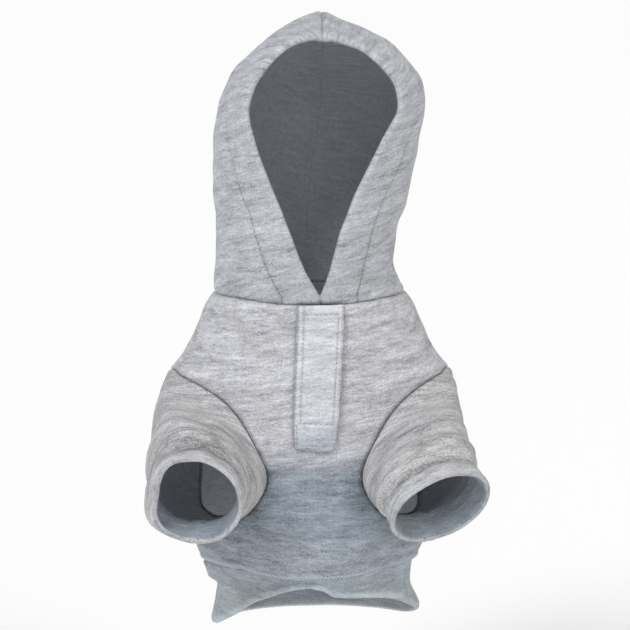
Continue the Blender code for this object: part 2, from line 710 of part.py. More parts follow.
ring_steps = ARMHOLE_FRONT_STEPS + ARMHOLE_BACK_STEPS
front_order = np.arange(ARMHOLE_FRONT_STEPS + 1)
back_order = np.arange(ring_steps, ARMHOLE_FRONT_STEPS - 1, -1) % ring_steps
body_panel("front_panel", fleece, front_order, FRONT_COLUMNS, behind=False)
body_panel("back_panel", fleece, back_order, BACK_COLUMNS, behind=True)
hood("hood_left", fleece, 1)
hood("hood_right", fleece, -1)
sleeve("sleeve_right", fleece, 0)
sleeve("sleeve_left", fleece, 1)
placket("placket", fleece)
waistband("waistband", rib)
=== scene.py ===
# %% [markdown]
# # A small hooded pet sweatshirt
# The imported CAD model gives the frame: eight sewn pieces as plain walls, in metres, with +Z up and
# the front at -Y. This file dresses them. Each piece is worked out again as a much finer surface,
# with its seams, hems, folds and stitches, and gets a cloth that is drawn by shader nodes.

import bpy
import numpy as np
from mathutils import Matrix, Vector


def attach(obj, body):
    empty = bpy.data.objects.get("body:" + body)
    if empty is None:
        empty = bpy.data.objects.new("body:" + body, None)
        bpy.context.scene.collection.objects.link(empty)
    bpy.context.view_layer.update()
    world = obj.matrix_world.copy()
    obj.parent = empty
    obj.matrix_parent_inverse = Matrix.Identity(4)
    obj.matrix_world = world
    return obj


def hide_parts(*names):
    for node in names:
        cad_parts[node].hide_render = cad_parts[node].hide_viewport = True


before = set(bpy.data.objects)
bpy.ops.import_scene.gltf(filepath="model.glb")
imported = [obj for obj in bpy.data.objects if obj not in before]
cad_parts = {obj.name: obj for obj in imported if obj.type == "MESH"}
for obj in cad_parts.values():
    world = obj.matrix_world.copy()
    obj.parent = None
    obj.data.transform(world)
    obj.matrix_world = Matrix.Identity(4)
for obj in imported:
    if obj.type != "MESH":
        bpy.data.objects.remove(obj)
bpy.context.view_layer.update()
print("pieces in the frame:", sorted(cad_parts))

# %% [markdown]
# ## Curves through small tables
# A pattern cutter writes down a few widths and heights and joins them with smooth lines. The same
# is done here: a table has a row for each section, and a cubic curve runs through each column. It
# could be a spline object in Blender, but plain arrays can be read at any number of places at once.

# %% Tables and curves
def table(columns, *rows):
    """A dictionary that gives each named column of the rows as an array."""
    values = np.array(rows, dtype=float)
    return {name: values[:, i] for i, name in enumerate(columns.split())}


def hermite(start, leave, end, arrive, t):
    """A cubic: the ends blended by 3t^2 - 2t^3, and the end tangents by t(1-t)^2 and t^2(1-t)."""
    smooth = t * t * (3.0 - 2.0 * t)
    return (1.0 - smooth) * start + smooth * end + t * (1 - t) ** 2 * leave - t * t * (1 - t) * arrive


def curve_through(places, values, at):
    """A monotone cubic: where neighbouring slopes agree, the tangent is their harmonic mean."""
    step = np.diff(places)
    slope = np.diff(values) / step
    same_way = slope[:-1] * slope[1:] > 0
    total = np.where(same_way, slope[:-1] + slope[1:], 1.0)
    inner = np.where(same_way, 2.0 * slope[:-1] * slope[1:] / total, 0.0)
    tangent = np.concatenate([slope[:1], inner, slope[-1:]])
    at = np.clip(at, places[0], places[-1])
    i = np.clip(np.searchsorted(places, at, side="right") - 1, 0, len(step) - 1)
    t = (at - places[i]) / step[i]
    return hermite(values[i], tangent[i] * step[i], values[i + 1], tangent[i + 1] * step[i], t)


def look_up(rows, column, at):
    """A column of a table at these places of its first column, along a smooth curve."""
    return curve_through(next(iter(rows.values())), rows[column], at)


def loop_through(values, at):
    """A closed Catmull-Rom curve: each tangent is half the step between its two neighbours."""
    i = np.floor(at).astype(int)
    before, start, end, after = (np.take(values, i + k, mode="wrap") for k in (-1, 0, 1, 2))
    return hermite(start, 0.5 * (end - before), end, 0.5 * (after - start), at - i)


def blend(first, second, share):
    return first + (second - first) * share


def crowded(start, end, count, crowd=0.75):
    """Places from start to end that lie closer together at both ends: t - crowd sin(2 pi t)/(2 pi)."""
    t = np.linspace(0.0, 1.0, count)
    return blend(start, end, t - crowd * np.sin(2.0 * np.pi * t) / (2.0 * np.pi))


def ease(t):
    """0 below 0, 1 above 1, and 3t^2 - 2t^3 between."""
    t = np.clip(t, 0.0, 1.0)
    return t * t * (3.0 - 2.0 * t)


def short_way(degrees, at):
    """The angle from one direction to another the short way round, from -180 to 180 degrees."""
    return (degrees - at + 180.0) % 360.0 - 180.0


def read_line(at, places, line):
    """Points of a line whose points lie at these places, read between them."""
    return np.stack([np.interp(at, places, line[:, k]) for k in range(3)], -1)


# %% Directions on a surface
def unit(vectors):
    return vectors / np.linalg.norm(vectors, axis=-1, keepdims=True)


def dot(first, second):
    return np.sum(first * second, axis=-1, keepdims=True)


def along_line(line, ring=False):
    """The unit direction along a line of points: the central difference of its neighbours."""
    step = np.roll(line, -1, axis=0) - np.roll(line, 1, axis=0) if ring else np.gradient(line, axis=0)
    return unit(step)


def grid_normals(grid, ring):
    """Unit normals of a grid: the cross product of the steps down and across."""
    across = np.roll(grid, -1, 1) - np.roll(grid, 1, 1) if ring else np.gradient(grid, axis=1)
    return unit(np.cross(np.gradient(grid, axis=0), across))


def mitre(first, second, thickness):
    """The step inward that two walls share at a seam: along the sum of their outward normals."""
    return -thickness * (first + second) / (1.0 + dot(first, second))


def level_step(normal, thickness):
    """The level step inward that keeps a wall's thickness at a level seam."""
    flat = normal * (1.0, 1.0, 0.0)
    return -thickness * flat / dot(flat, flat)


def length_along(grid, axis):
    """The distance walked along each line of a grid, summed from step to step."""
    step = np.linalg.norm(np.diff(grid, axis=axis), axis=-1)
    first = np.zeros_like(np.take(step, [0], axis=axis))
    return np.concatenate([first, np.cumsum(step, axis=axis)], axis=axis)


# %% [markdown]
# ## Relief
# Soft fleece is never quite flat. It rolls in at each seam, lies in shallow waves, and creases where
# it is pushed together. All of this is a height over the surface. It could be sculpted or
# simulated, but sums of smooth bumps are the same in each run and stay as small as they should.

# %% Waves, creases and seams
def soft_waves(u, v, size, seed):
    """Smooth waves between -1 and 1: a lattice of seeded random numbers, joined by eased blending."""
    lattice = np.random.default_rng(seed).uniform(-1.0, 1.0, (64, 64))
    a, b = u / size, v / size
    i, j = np.floor(a).astype(int), np.floor(b).astype(int)
    s, t = ease(a - i), ease(b - j)
    corner = [[lattice[(i + p) % 64, (j + q) % 64] for q in (0, 1)] for p in (0, 1)]
    return blend(blend(corner[0][0], corner[1][0], s), blend(corner[0][1], corner[1][1], s), t)


def two_waves(u, v, sizes, *seeds):
    """A long wave and a short one over it, each with a height and a size."""
    return sum(height * soft_waves(u, v, size, seed) for (height, size), seed in zip(sizes, seeds))


def crease_table(*rows):
    """Creases as lines from (u0, v0) to (u1, v1) on the cloth, with a width and a height."""
    return table("u0 v0 u1 v1 wide out", *rows)


def creases(u, v, rows):
    """Ridges and valleys: for each row, out times a bell curve of the distance to a line."""
    total = np.zeros(np.broadcast(u, v).shape)
    for u0, v0, u1, v1, wide, out in zip(*rows.values()):
        run = (u1 - u0) ** 2 + (v1 - v0) ** 2
        share = ((u - u0) * (u1 - u0) + (v - v0) * (v1 - v0)) / run
        held = np.clip(share, 0.0, 1.0)
        far = (u - u0 - held * (u1 - u0)) ** 2 + (v - v0 - held * (v1 - v0)) ** 2
        taper = 0.35 + 0.65 * np.sin(np.pi * held)
        total = total + out * taper * np.exp(-far / wide**2)
    return total


def roll_in(distance, depth, width):
    """How far cloth rolls in at a seam: -depth times a bell curve of the distance from it."""
    return -depth * np.exp(-((distance / width) ** 2))


def raised(distance, height, width):
    """A soft ridge: height times a bell curve of the distance from its crest."""
    return height * np.exp(-((distance / width) ** 2))


def sewn_edge(distance):
    """Beside a seam, cloth first rolls in and then stands up a little."""
    return roll_in(distance, 0.0008, 0.0009) + raised(distance - 0.0030, 0.0003, 0.0016)


def flat_topped(distance, height, width=0.0045):
    """A bell curve of the fourth power; so the inner face draws back at a seam."""
    return height * np.exp(-((distance / width) ** 4))


# %% [markdown]
# ## From grids to a closed wall of cloth
# A piece of fleece has an outer face, an inner face and edges. A Solidify modifier could add the
# inner face, but the seams need edges that meet at a chosen slant, so both faces are given here as
# grids of points. The rim between them is flat at a seam and half round at a turned edge.

# %% Build a wall
RIM_STEPS = 6


def border_walks(rows, columns, ring):
    """The rim as walks through the grid, in the sense in which the outer faces turn."""
    c = np.arange(columns + 1) if ring else np.arange(columns)
    r = np.arange(rows)
    top = (np.zeros_like(c), c)
    bottom = (np.full_like(c, rows - 1), c[::-1])
    if ring:
        return [top, bottom]
    right = (r, np.full_like(r, columns - 1))
    left = (r[::-1], np.zeros_like(r))
    parts = [top, right, bottom, left]
    walk_r = np.concatenate([p[0][:-1] for p in parts] + [[0]])
    walk_c = np.concatenate([p[1][:-1] for p in parts] + [[0]])
    return [(walk_r, walk_c)]


def edge_outward(outer, inner, folded):
    """At each border point, the way out of the edge, square to the wall; zero where it isn't folded."""
    away = np.zeros_like(outer)
    if "last" in folded:
        away[-1] = outer[-1] - outer[-2]
    if "left" in folded:
        away[:, 0] = outer[:, 0] - outer[:, 1]
    if "right" in folded:
        away[:, -1] = outer[:, -1] - outer[:, -2]
    thickness = inner - outer
    away = away - thickness * dot(away, thickness) / dot(thickness, thickness)
    size = np.linalg.norm(away, axis=-1, keepdims=True)
    return away / np.maximum(size, 1e-9) * (size > 1e-9)


def cloth_wall(name, outer, inner, uv, finishes, ring=False, folded=(), wear_and_painted_light=None, turned=None):
    """A closed wall. Rim points run from outer to inner on a half circle of the wall's thickness.

    uv has one column more than the grid when it is a ring. wear_and_painted_light is a share for each
    point: above 0 it marks rubbed edges, partly painted highlight, and below 0 painted shade; the shader
    reads it as the attribute named wear_and_painted_light. Where turned is true, a hem is folded in, and
    the inner face gets the third finish, a painted-shade copy of the marl.
    """
    rows, columns = outer.shape[:2]
    count = rows * columns
    points = [outer.reshape(-1, 3), inner.reshape(-1, 3)]
    wear_and_painted_light = np.zeros((rows, columns)) if wear_and_painted_light is None else wear_and_painted_light
    wear_and_light_all = [wear_and_painted_light.ravel(), wear_and_painted_light.ravel()]
    number = np.arange(count).reshape(rows, columns)
    a, b = np.meshgrid(np.arange(rows - 1), np.arange(columns if ring else columns - 1), indexing="ij")
    corner_r = np.stack([a, a, a + 1, a + 1], -1).reshape(-1, 4)
    corner_c = np.stack([b, b + 1, b + 1, b], -1).reshape(-1, 4)
    skin = number[corner_r, corner_c % columns]
    skin_uv = uv[corner_r, corner_c]
    faces = [skin, skin[:, ::-1] + count]
    face_uv = [skin_uv, skin_uv[:, ::-1]]
    turned = np.zeros((rows, columns), bool) if turned is None else turned
    finish = [np.zeros(len(skin), int), 1 + turned[corner_r[:, 0], corner_c[:, 0] % columns].astype(int)]

    away = edge_outward(outer, inner, folded)
    next_point = 2 * count
    for walk_r, walk_c in border_walks(rows, columns, ring):
        at = (walk_r, walk_c % columns)
        thickness = (inner - outer)[at]
        size = np.linalg.norm(thickness, axis=-1, keepdims=True)
        levels = [number[at]]
        closed = walk_r.size - 1
        for k in range(1, RIM_STEPS):
            turn = np.pi * k / RIM_STEPS
            bulge = 0.5 * size * away[at] * np.sin(turn)
            ring_points = outer[at] + thickness * 0.5 * (1.0 - np.cos(turn)) + bulge
            points.append(ring_points[:closed])
            wear_and_light_all.append(wear_and_painted_light[at][:closed])
            numbers = next_point + np.arange(closed)
            levels.append(np.append(numbers, numbers[0]))
            next_point += closed
        levels.append(number[at] + count)
        next_r = np.clip(walk_r, 1, rows - 2)
        next_c = walk_c if ring else np.clip(walk_c, 1, columns - 2)
        outward = uv[walk_r, walk_c] - uv[next_r, next_c]
        outward = outward / np.maximum(np.linalg.norm(outward, axis=-1, keepdims=True), 1e-9)
        arc = 0.5 * np.pi / RIM_STEPS * size
        for k, (upper, lower) in enumerate(zip(levels, levels[1:])):
            near, far = (uv[walk_r, walk_c] + outward * arc * step for step in (k, k + 1))
            faces.append(np.stack([upper[1:], upper[:-1], lower[:-1], lower[1:]], -1))
            face_uv.append(np.stack([near[1:], near[:-1], far[:-1], far[1:]], 1))
            finish.append(np.zeros(closed, int))

    points = np.concatenate(points)
    faces = np.concatenate(faces)
    face_uv = np.concatenate(face_uv)
    middle = len(skin) // 2
    corners = points[skin[middle]]
    facing = np.cross(corners[1] - corners[0], corners[3] - corners[0])
    if np.dot(facing, corners.mean(0) - points[skin[middle] + count].mean(0)) < 0.0:
        faces, face_uv = faces[:, ::-1], face_uv[:, ::-1]
    return mesh_piece(name, points, faces, face_uv, np.concatenate(finish), finishes, np.concatenate(wear_and_light_all))


def put_in_scene(name, data):
    made = bpy.data.objects.new(name, data)
    bpy.context.scene.collection.objects.link(made)
    return made


def mesh_piece(name, points, faces, face_uv, finish, finishes, wear_and_painted_light):
    """Puts whole arrays of points, faces, UVs and finish numbers into a new smooth mesh object."""
    mesh = bpy.data.meshes.new(name)
    mesh.from_pydata(points.tolist(), [], faces.tolist())
    layer = mesh.uv_layers.new(name="cloth")
    layer.data.foreach_set("uv", np.ascontiguousarray(face_uv, dtype=np.float32).ravel())
    wear_and_light_layer = mesh.attributes.new("wear_and_painted_light", "FLOAT", "POINT")
    wear_and_light_layer.data.foreach_set("value", wear_and_painted_light.astype(np.float32))
    for material in finishes:
        mesh.materials.append(material)
    mesh.polygons.foreach_set("material_index", finish)
    mesh.shade_smooth()
    mesh.validate()
    print(f"{name}: {sum(len(p.vertices) - 2 for p in mesh.polygons)} triangles")
    return put_in_scene(name, mesh)


# %% [markdown]
# ## Shader maths as Python
# A material is a small sum: streaks plus specks, times a colour. Wiring each Math node by hand
# hides the sum, so one class wraps a socket and lets Python's own operators add the nodes.

# %% A socket that can be added and multiplied
class Wire:
    """An output socket in a material's node tree. Its operators add Math nodes behind it."""

    def __init__(self, tree, socket):
        self.tree = tree
        self.socket = socket

    def node(self, kind, values, settings=(), out=0):
        """Any node: its settings first, then the values or wires of its sockets; gives one output."""
        made = self.tree.nodes.new(kind)
        for name, setting in dict(settings).items():
            setattr(made, name, setting)
        for name, value in values.items():
            if isinstance(value, Wire):
                self.tree.links.new(value.socket, made.inputs[name])
            else:
                made.inputs[name].default_value = value
        return Wire(self.tree, made.outputs[out])

    def math(self, operation, first, second=0.0, third=0.0):
        settings = {"operation": operation}
        return self.node("ShaderNodeMath", {0: first, 1: second, 2: third}, settings)

    def __add__(self, other):
        return self.math("ADD", self, other)

    def __sub__(self, other):
        return self.math("SUBTRACT", self, other)

    def __rsub__(self, other):
        return self.math("SUBTRACT", other, self)

    def __mul__(self, other):
        return self.math("MULTIPLY", self, other)

    __radd__ = __add__
    __rmul__ = __mul__

    def sine(self):
        return self.math("SINE", self)

    def held(self):
        """The value kept between 0 and 1."""
        return self.node("ShaderNodeClamp", {"Value": self})

    def stretched(self, factors):
        return self.node("ShaderNodeVectorMath", {0: self, 1: factors}, {"operation": "MULTIPLY"})

    def noise(self, factors, detail=2.0, roughness=0.5, distortion=0.0):
        """Noise on these coordinates, drawn out by the factors: a cell is one over its factor long."""
        values = {"Vector": self.stretched(factors), "Scale": 1.0, "Detail": detail}
        values.update({"Roughness": roughness, "Distortion": distortion})
        return self.node("ShaderNodeTexNoise", values)

    def part(self, axis):
        """One axis of a vector: X, Y or Z."""
        return self.node("ShaderNodeSeparateXYZ", {"Vector": self}, out=axis)

    def mix(self, first, second, kind="MIX"):
        """This far from the first colour to the second one, or to the first times the second."""
        settings = {"data_type": "RGBA", "blend_type": kind}
        return self.node("ShaderNodeMix", {0: self, 6: first, 7: second}, settings, 2)

    def wear_and_painted_light(self):
        """The attribute wear_and_painted_light: above 0 rubbed edges, partly painted highlight; below 0 painted
        shade.
        """
        return self.node("ShaderNodeAttribute", {}, {"attribute_name": "wear_and_painted_light"}, out="Fac")

    def waved(self, length):
        """A sine of this coordinate, one turn for each length."""
        return (self * (2.0 * np.pi / length)).sine()


def start_material(name, roughness, sheen):
    """An empty cloth material: gives it, its shader node and the wire of its UV map."""
    material = bpy.data.materials.new(name)
    material.use_nodes = True
    tree = material.node_tree
    shader = tree.nodes["Principled BSDF"]
    shader.inputs["Roughness"].default_value = roughness
    shader.inputs["Specular IOR Level"].default_value = 0.25
    shader.inputs["Sheen Weight"].default_value = sheen
    shader.inputs["Sheen Roughness"].default_value = 0.6
    return material, shader, Wire(tree, shader.outputs[0]).node("ShaderNodeTexCoord", {}, out="UV")


def finish_material(shader, colour, height, distance, strength):
    """Joins a colour and a bump height, both wires, to the shader."""
    bump = height.node("ShaderNodeBump", {"Height": height, "Distance": distance, "Strength": strength})
    colour.tree.links.new(colour.socket, shader.inputs["Base Color"])
    colour.tree.links.new(bump.socket, shader.inputs["Normal"])


# %% [markdown]
# ## Marl fleece
# Marl is spun from light and dark fibres, so each course of the knit shows as a short streak,
# lighter or darker than the next one. The streaks follow the cloth, not the room, so they are read
# from each piece's own UV map: u runs along a course and v across the courses, both in metres.
# Noise that is drawn out along u gives the streaks, and two sine waves give the small loops.

# %% Outer face of the fleece
WALE, COURSE = 0.0013, 0.0011  # the width and the height of one loop of the knit
MARL = (  # share, cells in a metre along u and v, detail, roughness, distortion
    (0.50, (85.0, 460.0, 1.0), 3.0, 0.64, 0.2),  # drawn-out streaks
    (0.33, (270.0, 830.0, 1.0), 2.0, 0.6, 0.2),  # short dashes
    (0.36, (45.0, 160.0, 1.0), 2.0, 0.6, 0.2),  # soft clumps
    (0.34, (15.0, 150.0, 1.0), 2.0, 0.5, 0.2),  # wide bands
    (0.40, (750.0, 1000.0, 1.0), 1.0, 0.5, 0.0),  # single fibres
)
MARL_MIDDLE = 0.967  # the mean of all the shares' noise
# How far wear and painted highlight lighten the marl, and painted shade darkens it.
WEAR_AND_LIGHT_LEVEL = 0.20
# Painted sheen: a bluish tint on the lighter edges.
PAINTED_BLUE_SHEEN = (0.80, 0.88, 0.96, 1.0)
BELLY_LIT = -0.132  # the painted shade eases off below this height, where the cloth turns up to the light again
SHADE_ENDS = 0.022  # the painted shade stops at this depth, towards the back


def marl_level(uv, wear_and_painted_light, contrast):
    """Marl is a sum of noises, each by its share, about a middle grey; gives the streaks too.

    wear_and_painted_light makes it lighter above 0, at rubbed edges and as painted highlight, and
    darker below 0, as painted shade in folds, grooves, seams and beside the sleeves.
    """
    noises = [uv.noise(*shape) for _, *shape in MARL]
    level = sum(row[0] * noise for row, noise in zip(MARL, noises))
    return ((level - MARL_MIDDLE) * contrast + 0.5 + WEAR_AND_LIGHT_LEVEL * wear_and_painted_light).held(), noises[0]


def painted_belly_shade(colour, painted_low_shade):
    """Painted shade: the cloth is darkened to blue-grey below a height, on the front half only."""
    place = colour.node("ShaderNodeTexCoord", {}, out="Object")
    height, depth = place.part("Z"), place.part("Y")
    top, bottom, shade = painted_low_shade
    fall = ((top - height) * (1.0 / (top - bottom))).held()
    fall = fall * fall * (3.0 - 2.0 * fall) - 0.3 * ((BELLY_LIT - height) * (1.0 / 0.02)).held()
    fall = fall * ((SHADE_ENDS - depth) * (1.0 / 0.035)).held()
    return fall.mix(colour, (*shade, 1.0), "MULTIPLY")


def marl_fleece(name, dark, light, contrast, painted_low_shade=None):
    """The marl level mixes dark to light; wales, courses and fuzz give the bump."""
    material, shader, uv = start_material(name, 0.95, 0.10)
    wear_and_painted_light = uv.wear_and_painted_light()
    level, streak = marl_level(uv, wear_and_painted_light, contrast)
    wale = uv.part("X").waved(WALE)
    course = (uv.part("Y") * (2.0 * np.pi / COURSE) + 1.2 * wale).sine()
    level = (level + 0.03 * wale).held()
    colour = level.mix((*dark, 1.0), (*light, 1.0))
    tint = uv.noise((38.0, 60.0, 5.0), 1.0, 0.5)
    tint = ((tint - 0.5) * 1.6 + 0.12).held()
    warm = (0.60 * light[0] + 0.02, 0.57 * light[1], 0.53 * light[2], 1.0)
    colour = (0.4 * tint).mix(colour, warm)
    # Painted sheen: the lighter edges turn bluish.
    colour = (0.7 * wear_and_painted_light).mix(colour, PAINTED_BLUE_SHEEN, "MULTIPLY")
    # Painted shade on the belly, under the chest and the sleeves.
    if painted_low_shade:
        colour = painted_belly_shade(colour, painted_low_shade)
    fuzz = uv.noise((2200.0, 2200.0, 1.0), 3.0, 0.6)
    height = 0.25 * wale + 0.20 * course + 0.9 * fuzz + 1.2 * streak
    finish_material(shader, colour, height, 0.0004, 0.5)
    return material


BODY_PAINTED_SHADE = (-0.083, -0.105, (0.54, 0.62, 0.68))  # painted shade: from this height to this one, and its colour
BODY_CLOTH = marl_fleece("body_cloth", (0.18, 0.18, 0.19), (0.74, 0.74, 0.78), 2.0, BODY_PAINTED_SHADE)
HOOD_CLOTH = marl_fleece("hood_cloth", (0.17, 0.175, 0.185), (0.665, 0.683, 0.735), 1.95)
SLEEVE_CLOTH = marl_fleece("sleeve_cloth", (0.135, 0.133, 0.135), (0.665, 0.66, 0.672), 2.05)
# Painted shade on the placket's lower end, below the cross stitches, where it curves under.
PLACKET_PAINTED_SHADE = (-0.066, -0.092, (0.62, 0.68, 0.73))
# The placket's marl is a lighter copy of the body's: painted light on the strip, which faces the lamp.
STRIP_CLOTH = marl_fleece("placket_cloth", (0.26, 0.265, 0.28), (0.80, 0.81, 0.86), 1.8, PLACKET_PAINTED_SHADE)
# Painted shade: the turned-in hem is the marl's face side, drawn darker and bluer as it looks in shadow.
TURNED_HEM_PAINTED_SHADE = marl_fleece("turned_hem_painted_shade", (0.12, 0.135, 0.155), (0.42, 0.47, 0.53), 1.9)

# %% [markdown]
# ## The inside, the rib and the thread
# The back of sweatshirt fleece is brushed: soft, a little darker and without clear loops. The
# waistband is a fine rib: the same marl, with fine ribs across it. Thread is plain cotton.

# %% Brushed inside
def brushed_inside(name, dark, light):
    """Tufts: isotropic noise at two sizes, with faint streaks of the marl behind."""
    material, shader, uv = start_material(name, 1.0, 0.25)
    tuft = uv.noise((420.0, 520.0, 1.0), 4.0, 0.7, 0.6)
    streak = uv.noise((70.0, 420.0, 1.0), 2.0, 0.5)
    level = ((0.65 * tuft + 0.35 * streak - 0.5) * 1.9 + 0.5).held()
    colour = level.mix((*dark, 1.0), (*light, 1.0))
    finish_material(shader, colour, tuft + 0.4 * streak, 0.0006, 0.7)
    return material


# Painted shade on the band's front, as on the belly.
BAND_PAINTED_SHADE = (-0.083, -0.105, (0.68, 0.75, 0.79))
RIB_WIDE, LOOP_HIGH = 0.0013, 0.0010


def ribbed_knit(name, dark, light):
    """The same marl, with fine ribs: a sine wave across u for the bump and a little of the colour."""
    material, shader, uv = start_material(name, 0.93, 0.08)
    rib, loop = uv.part("X").waved(RIB_WIDE), uv.part("Y").waved(LOOP_HIGH)
    level, streak = marl_level(uv, uv.wear_and_painted_light(), 1.5)
    level = (level + 0.05 * rib).held()
    # Painted shade on the band's front.
    colour = painted_belly_shade(level.mix((*dark, 1.0), (*light, 1.0)), BAND_PAINTED_SHADE)
    finish_material(shader, colour, 0.6 * rib + 0.15 * loop + streak, 0.0004, 0.5)
    return material


def sewing_thread(name, colour):
    """Cotton: one colour with a fine twist of lighter and darker bands."""
    material, shader, uv = start_material(name, 0.8, 0.05)
    twist = uv.noise((900.0, 2400.0, 1.0), 1.0, 0.5)
    shade = twist.mix((*(0.75 * c for c in colour), 1.0), (*(min(1.0, 1.2 * c) for c in colour), 1.0))
    finish_material(shader, shade, twist, 0.0001, 0.4)
    return material


INSIDE_CLOTH = brushed_inside("fleece_inside", (0.28, 0.30, 0.33), (0.62, 0.64, 0.69))
BAND_CLOTH = ribbed_knit("band_rib", (0.185, 0.195, 0.21), (0.715, 0.74, 0.765))
# Painted shade: the band's inside is the same rib, drawn darker and bluer as it looks in shadow.
BAND_INSIDE_PAINTED_SHADE = ribbed_knit("band_inside_painted_shade", (0.13, 0.145, 0.165), (0.46, 0.50, 0.55))
GREY_THREAD = sewing_thread("grey_thread", (0.27, 0.28, 0.31))
PALE_THREAD = sewing_thread("pale_thread", (0.69, 0.70, 0.73))
# The pale thread with the belly's painted shade in its colour, for the waist stitches.
PALE_THREAD_PAINTED_SHADE = sewing_thread("pale_thread_painted_shade", (0.53, 0.57, 0.62))
print("finishes:", len(bpy.data.materials))

# %% [markdown]
# ## Sizes and tables of the garment
# These are the named sizes and tables of the CAD model, in metres and shares, so that each fine
# piece lies where its plain one does, but for the small worn forms. Its divisions are finer.

# %% Sizes
FLEECE = 0.0022
RIB = 0.0030
PLACKET_CLOTH = 0.0026
HEM_LAYERS = 2.0
SEAM_GAP = 0.0002
NECK_WIDTH = 0.114
NECK_DEPTH = 0.090
SHOULDER_WIDTH = 0.168
CHEST_DEPTH = 0.121
WAIST_WIDTH = 0.128
WAIST_DEPTH = 0.107
BODY_LENGTH = 0.163
ARMHOLE_DROP = 0.047
ARMHOLE_HEIGHT = 0.087
HOOD_HEIGHT = 0.1687
HOOD_WIDTH = 0.125
HOOD_FRONT = 0.052
HOOD_BACK = 0.075
HOOD_HEM = 0.025
HOOD_TURN = 0.05
NOTCH_SHIFT = 0.0044
NOTCH_FADES = 0.3
SLEEVE_REACH = 0.100
CUFF_DIAMETER = 0.055
SLEEVE_HEM = 0.015
SLEEVE_TOP_TURN = 62.0
SLEEVE_SKEW = 1.0
SLEEVE_ARRIVAL = 0.8
SLEEVE_FULL_AT = 1.5
PLACKET_WIDTH = 0.026
PLACKET_LENGTH = 0.085
PLACKET_LIFT = 0.0004
BAND_HEIGHT = 0.042
SHOULDER_SEAM_AT_NECK = 90
SIDE_SEAM_AT_WAIST = 78
ROWS_KEEP_EDGE = 0.35
ROW_EASE = 3

# %% Tables
SHOULDERS = table(
    "down spread fullness forward",
    (0.00, 0.00, 0.00, 0.008),
    (0.16, 0.20, 0.14, 0.008),
    (0.36, 0.33, 0.30, 0.008),
    (0.62, 0.52, 0.48, 0.010),
    (0.84, 0.75, 0.60, 0.012),
    (0.95, 0.92, 0.64, 0.013),
    (1.00, 1.00, 0.65, 0.013),
)
TRUNK = table(
    "down spread fullness forward",
    (0.00, 1.00, 0.22, 0.013),
    (0.06, 0.95, 0.37, 0.014),
    (0.15, 0.81, 0.60, 0.016),
    (0.40, 0.49, 1.00, 0.020),
    (0.70, 0.21, 0.88, 0.017),
    (0.88, 0.12, 0.50, 0.013),
    (1.00, 0.00, 0.00, 0.010),
)
BODY_FOLDS = table(
    "around down wide tall lean out",
    (-80, 0.94, 42, 0.050, 0.00, 0.026),
    (80, 0.93, 42, 0.050, 0.00, 0.022),
    (0, 0.93, 55, 0.045, 0.00, 0.008),
    (-50, 0.950, 16, 0.030, 0.10, -0.018),
    (-24, 0.80, 9, 0.090, 0.10, 0.010),
    (28, 0.82, 10, 0.080, -0.10, 0.010),
)
ARMHOLE = table(
    "around down lift reach",
    (92, 0.00, 20, 0.50),
    (62, 0.01, 30, 0.70),
    (40, 0.14, 50, 0.90),
    (27.5, 0.40, 75, 1.00),
    (23, 0.67, 98, 1.00),
    (38, 0.92, 103, 1.00),
    (66, 1.00, 95, 1.00),
    (95, 0.89, 80, 0.90),
    (112, 0.59, 60, 0.75),
    (110, 0.22, 40, 0.60),
)
ARMHOLE_BOTTOM = 6
CUFFS = table(
    "side across forward down pitch yaw roll wide tall fullness",
    (-1, 0.845, 1.00, 0.648, 18, 10, 0, 1.00, 1.03, 1.6),
    (1, 0.833, 0.90, 0.693, 32, 21, 25, 1.10, 0.90, 0.95),
)
SLEEVE_PUFF = table(
    "along out",
    (0.00, 0.000),
    (0.10, 0.012),
    (0.35, 0.040),
    (0.62, 0.070),
    (0.82, 0.085),
    (0.93, 0.045),
    (1.00, -0.025),
)
CUFF_HEM = table("along out", (0.00, -0.025), (0.16, -0.005), (0.55, 0.020), (1.00, 0.015))
HOOD = table(
    "along rise width skew face brow front middle back nape lean",
    (0.000, 0.000, 0.912, 0.00, 0.000, 0.000, 0.885, -0.013, 0.587, 0.000, 0.000),
    (0.090, 0.107, 0.854, -0.06, 0.185, 0.113, 0.980, 0.000, 0.693, 0.095, 0.000),
    (0.185, 0.219, 0.869, -0.03, 0.310, 0.231, 1.000, 0.027, 0.800, 0.190, 0.002),
    (0.260, 0.308, 0.910, 0.00, 0.400, 0.320, 0.971, 0.040, 0.880, 0.267, 0.008),
    (0.450, 0.533, 0.992, 0.00, 0.640, 0.545, 0.904, 0.067, 0.993, 0.462, 0.032),
    (0.560, 0.664, 1.000, 0.00, 0.755, 0.670, 0.865, 0.080, 1.000, 0.575, 0.056),
    (0.630, 0.747, 0.950, 0.01, 0.755, 0.750, 0.846, 0.093, 0.987, 0.634, 0.060),
    (0.700, 0.809, 0.846, 0.03, 0.745, 0.809, 0.846, 0.107, 0.947, 0.679, 0.060),
    (0.780, 0.871, 0.680, 0.06, 0.745, 0.862, 0.846, 0.107, 0.907, 0.717, 0.060),
    (0.860, 0.925, 0.485, 0.10, 0.700, 0.909, 0.846, 0.107, 0.867, 0.750, 0.060),
    (0.930, 0.963, 0.295, 0.13, 0.560, 0.930, 0.846, 0.107, 0.833, 0.774, 0.060),
    (0.975, 0.991, 0.110, 0.13, 0.520, 0.937, 0.846, 0.107, 0.807, 0.791, 0.060),
    (1.000, 1.000, 0.000, 0.13, 0.500, 0.939, 0.846, 0.107, 0.800, 0.800, 0.060),
)
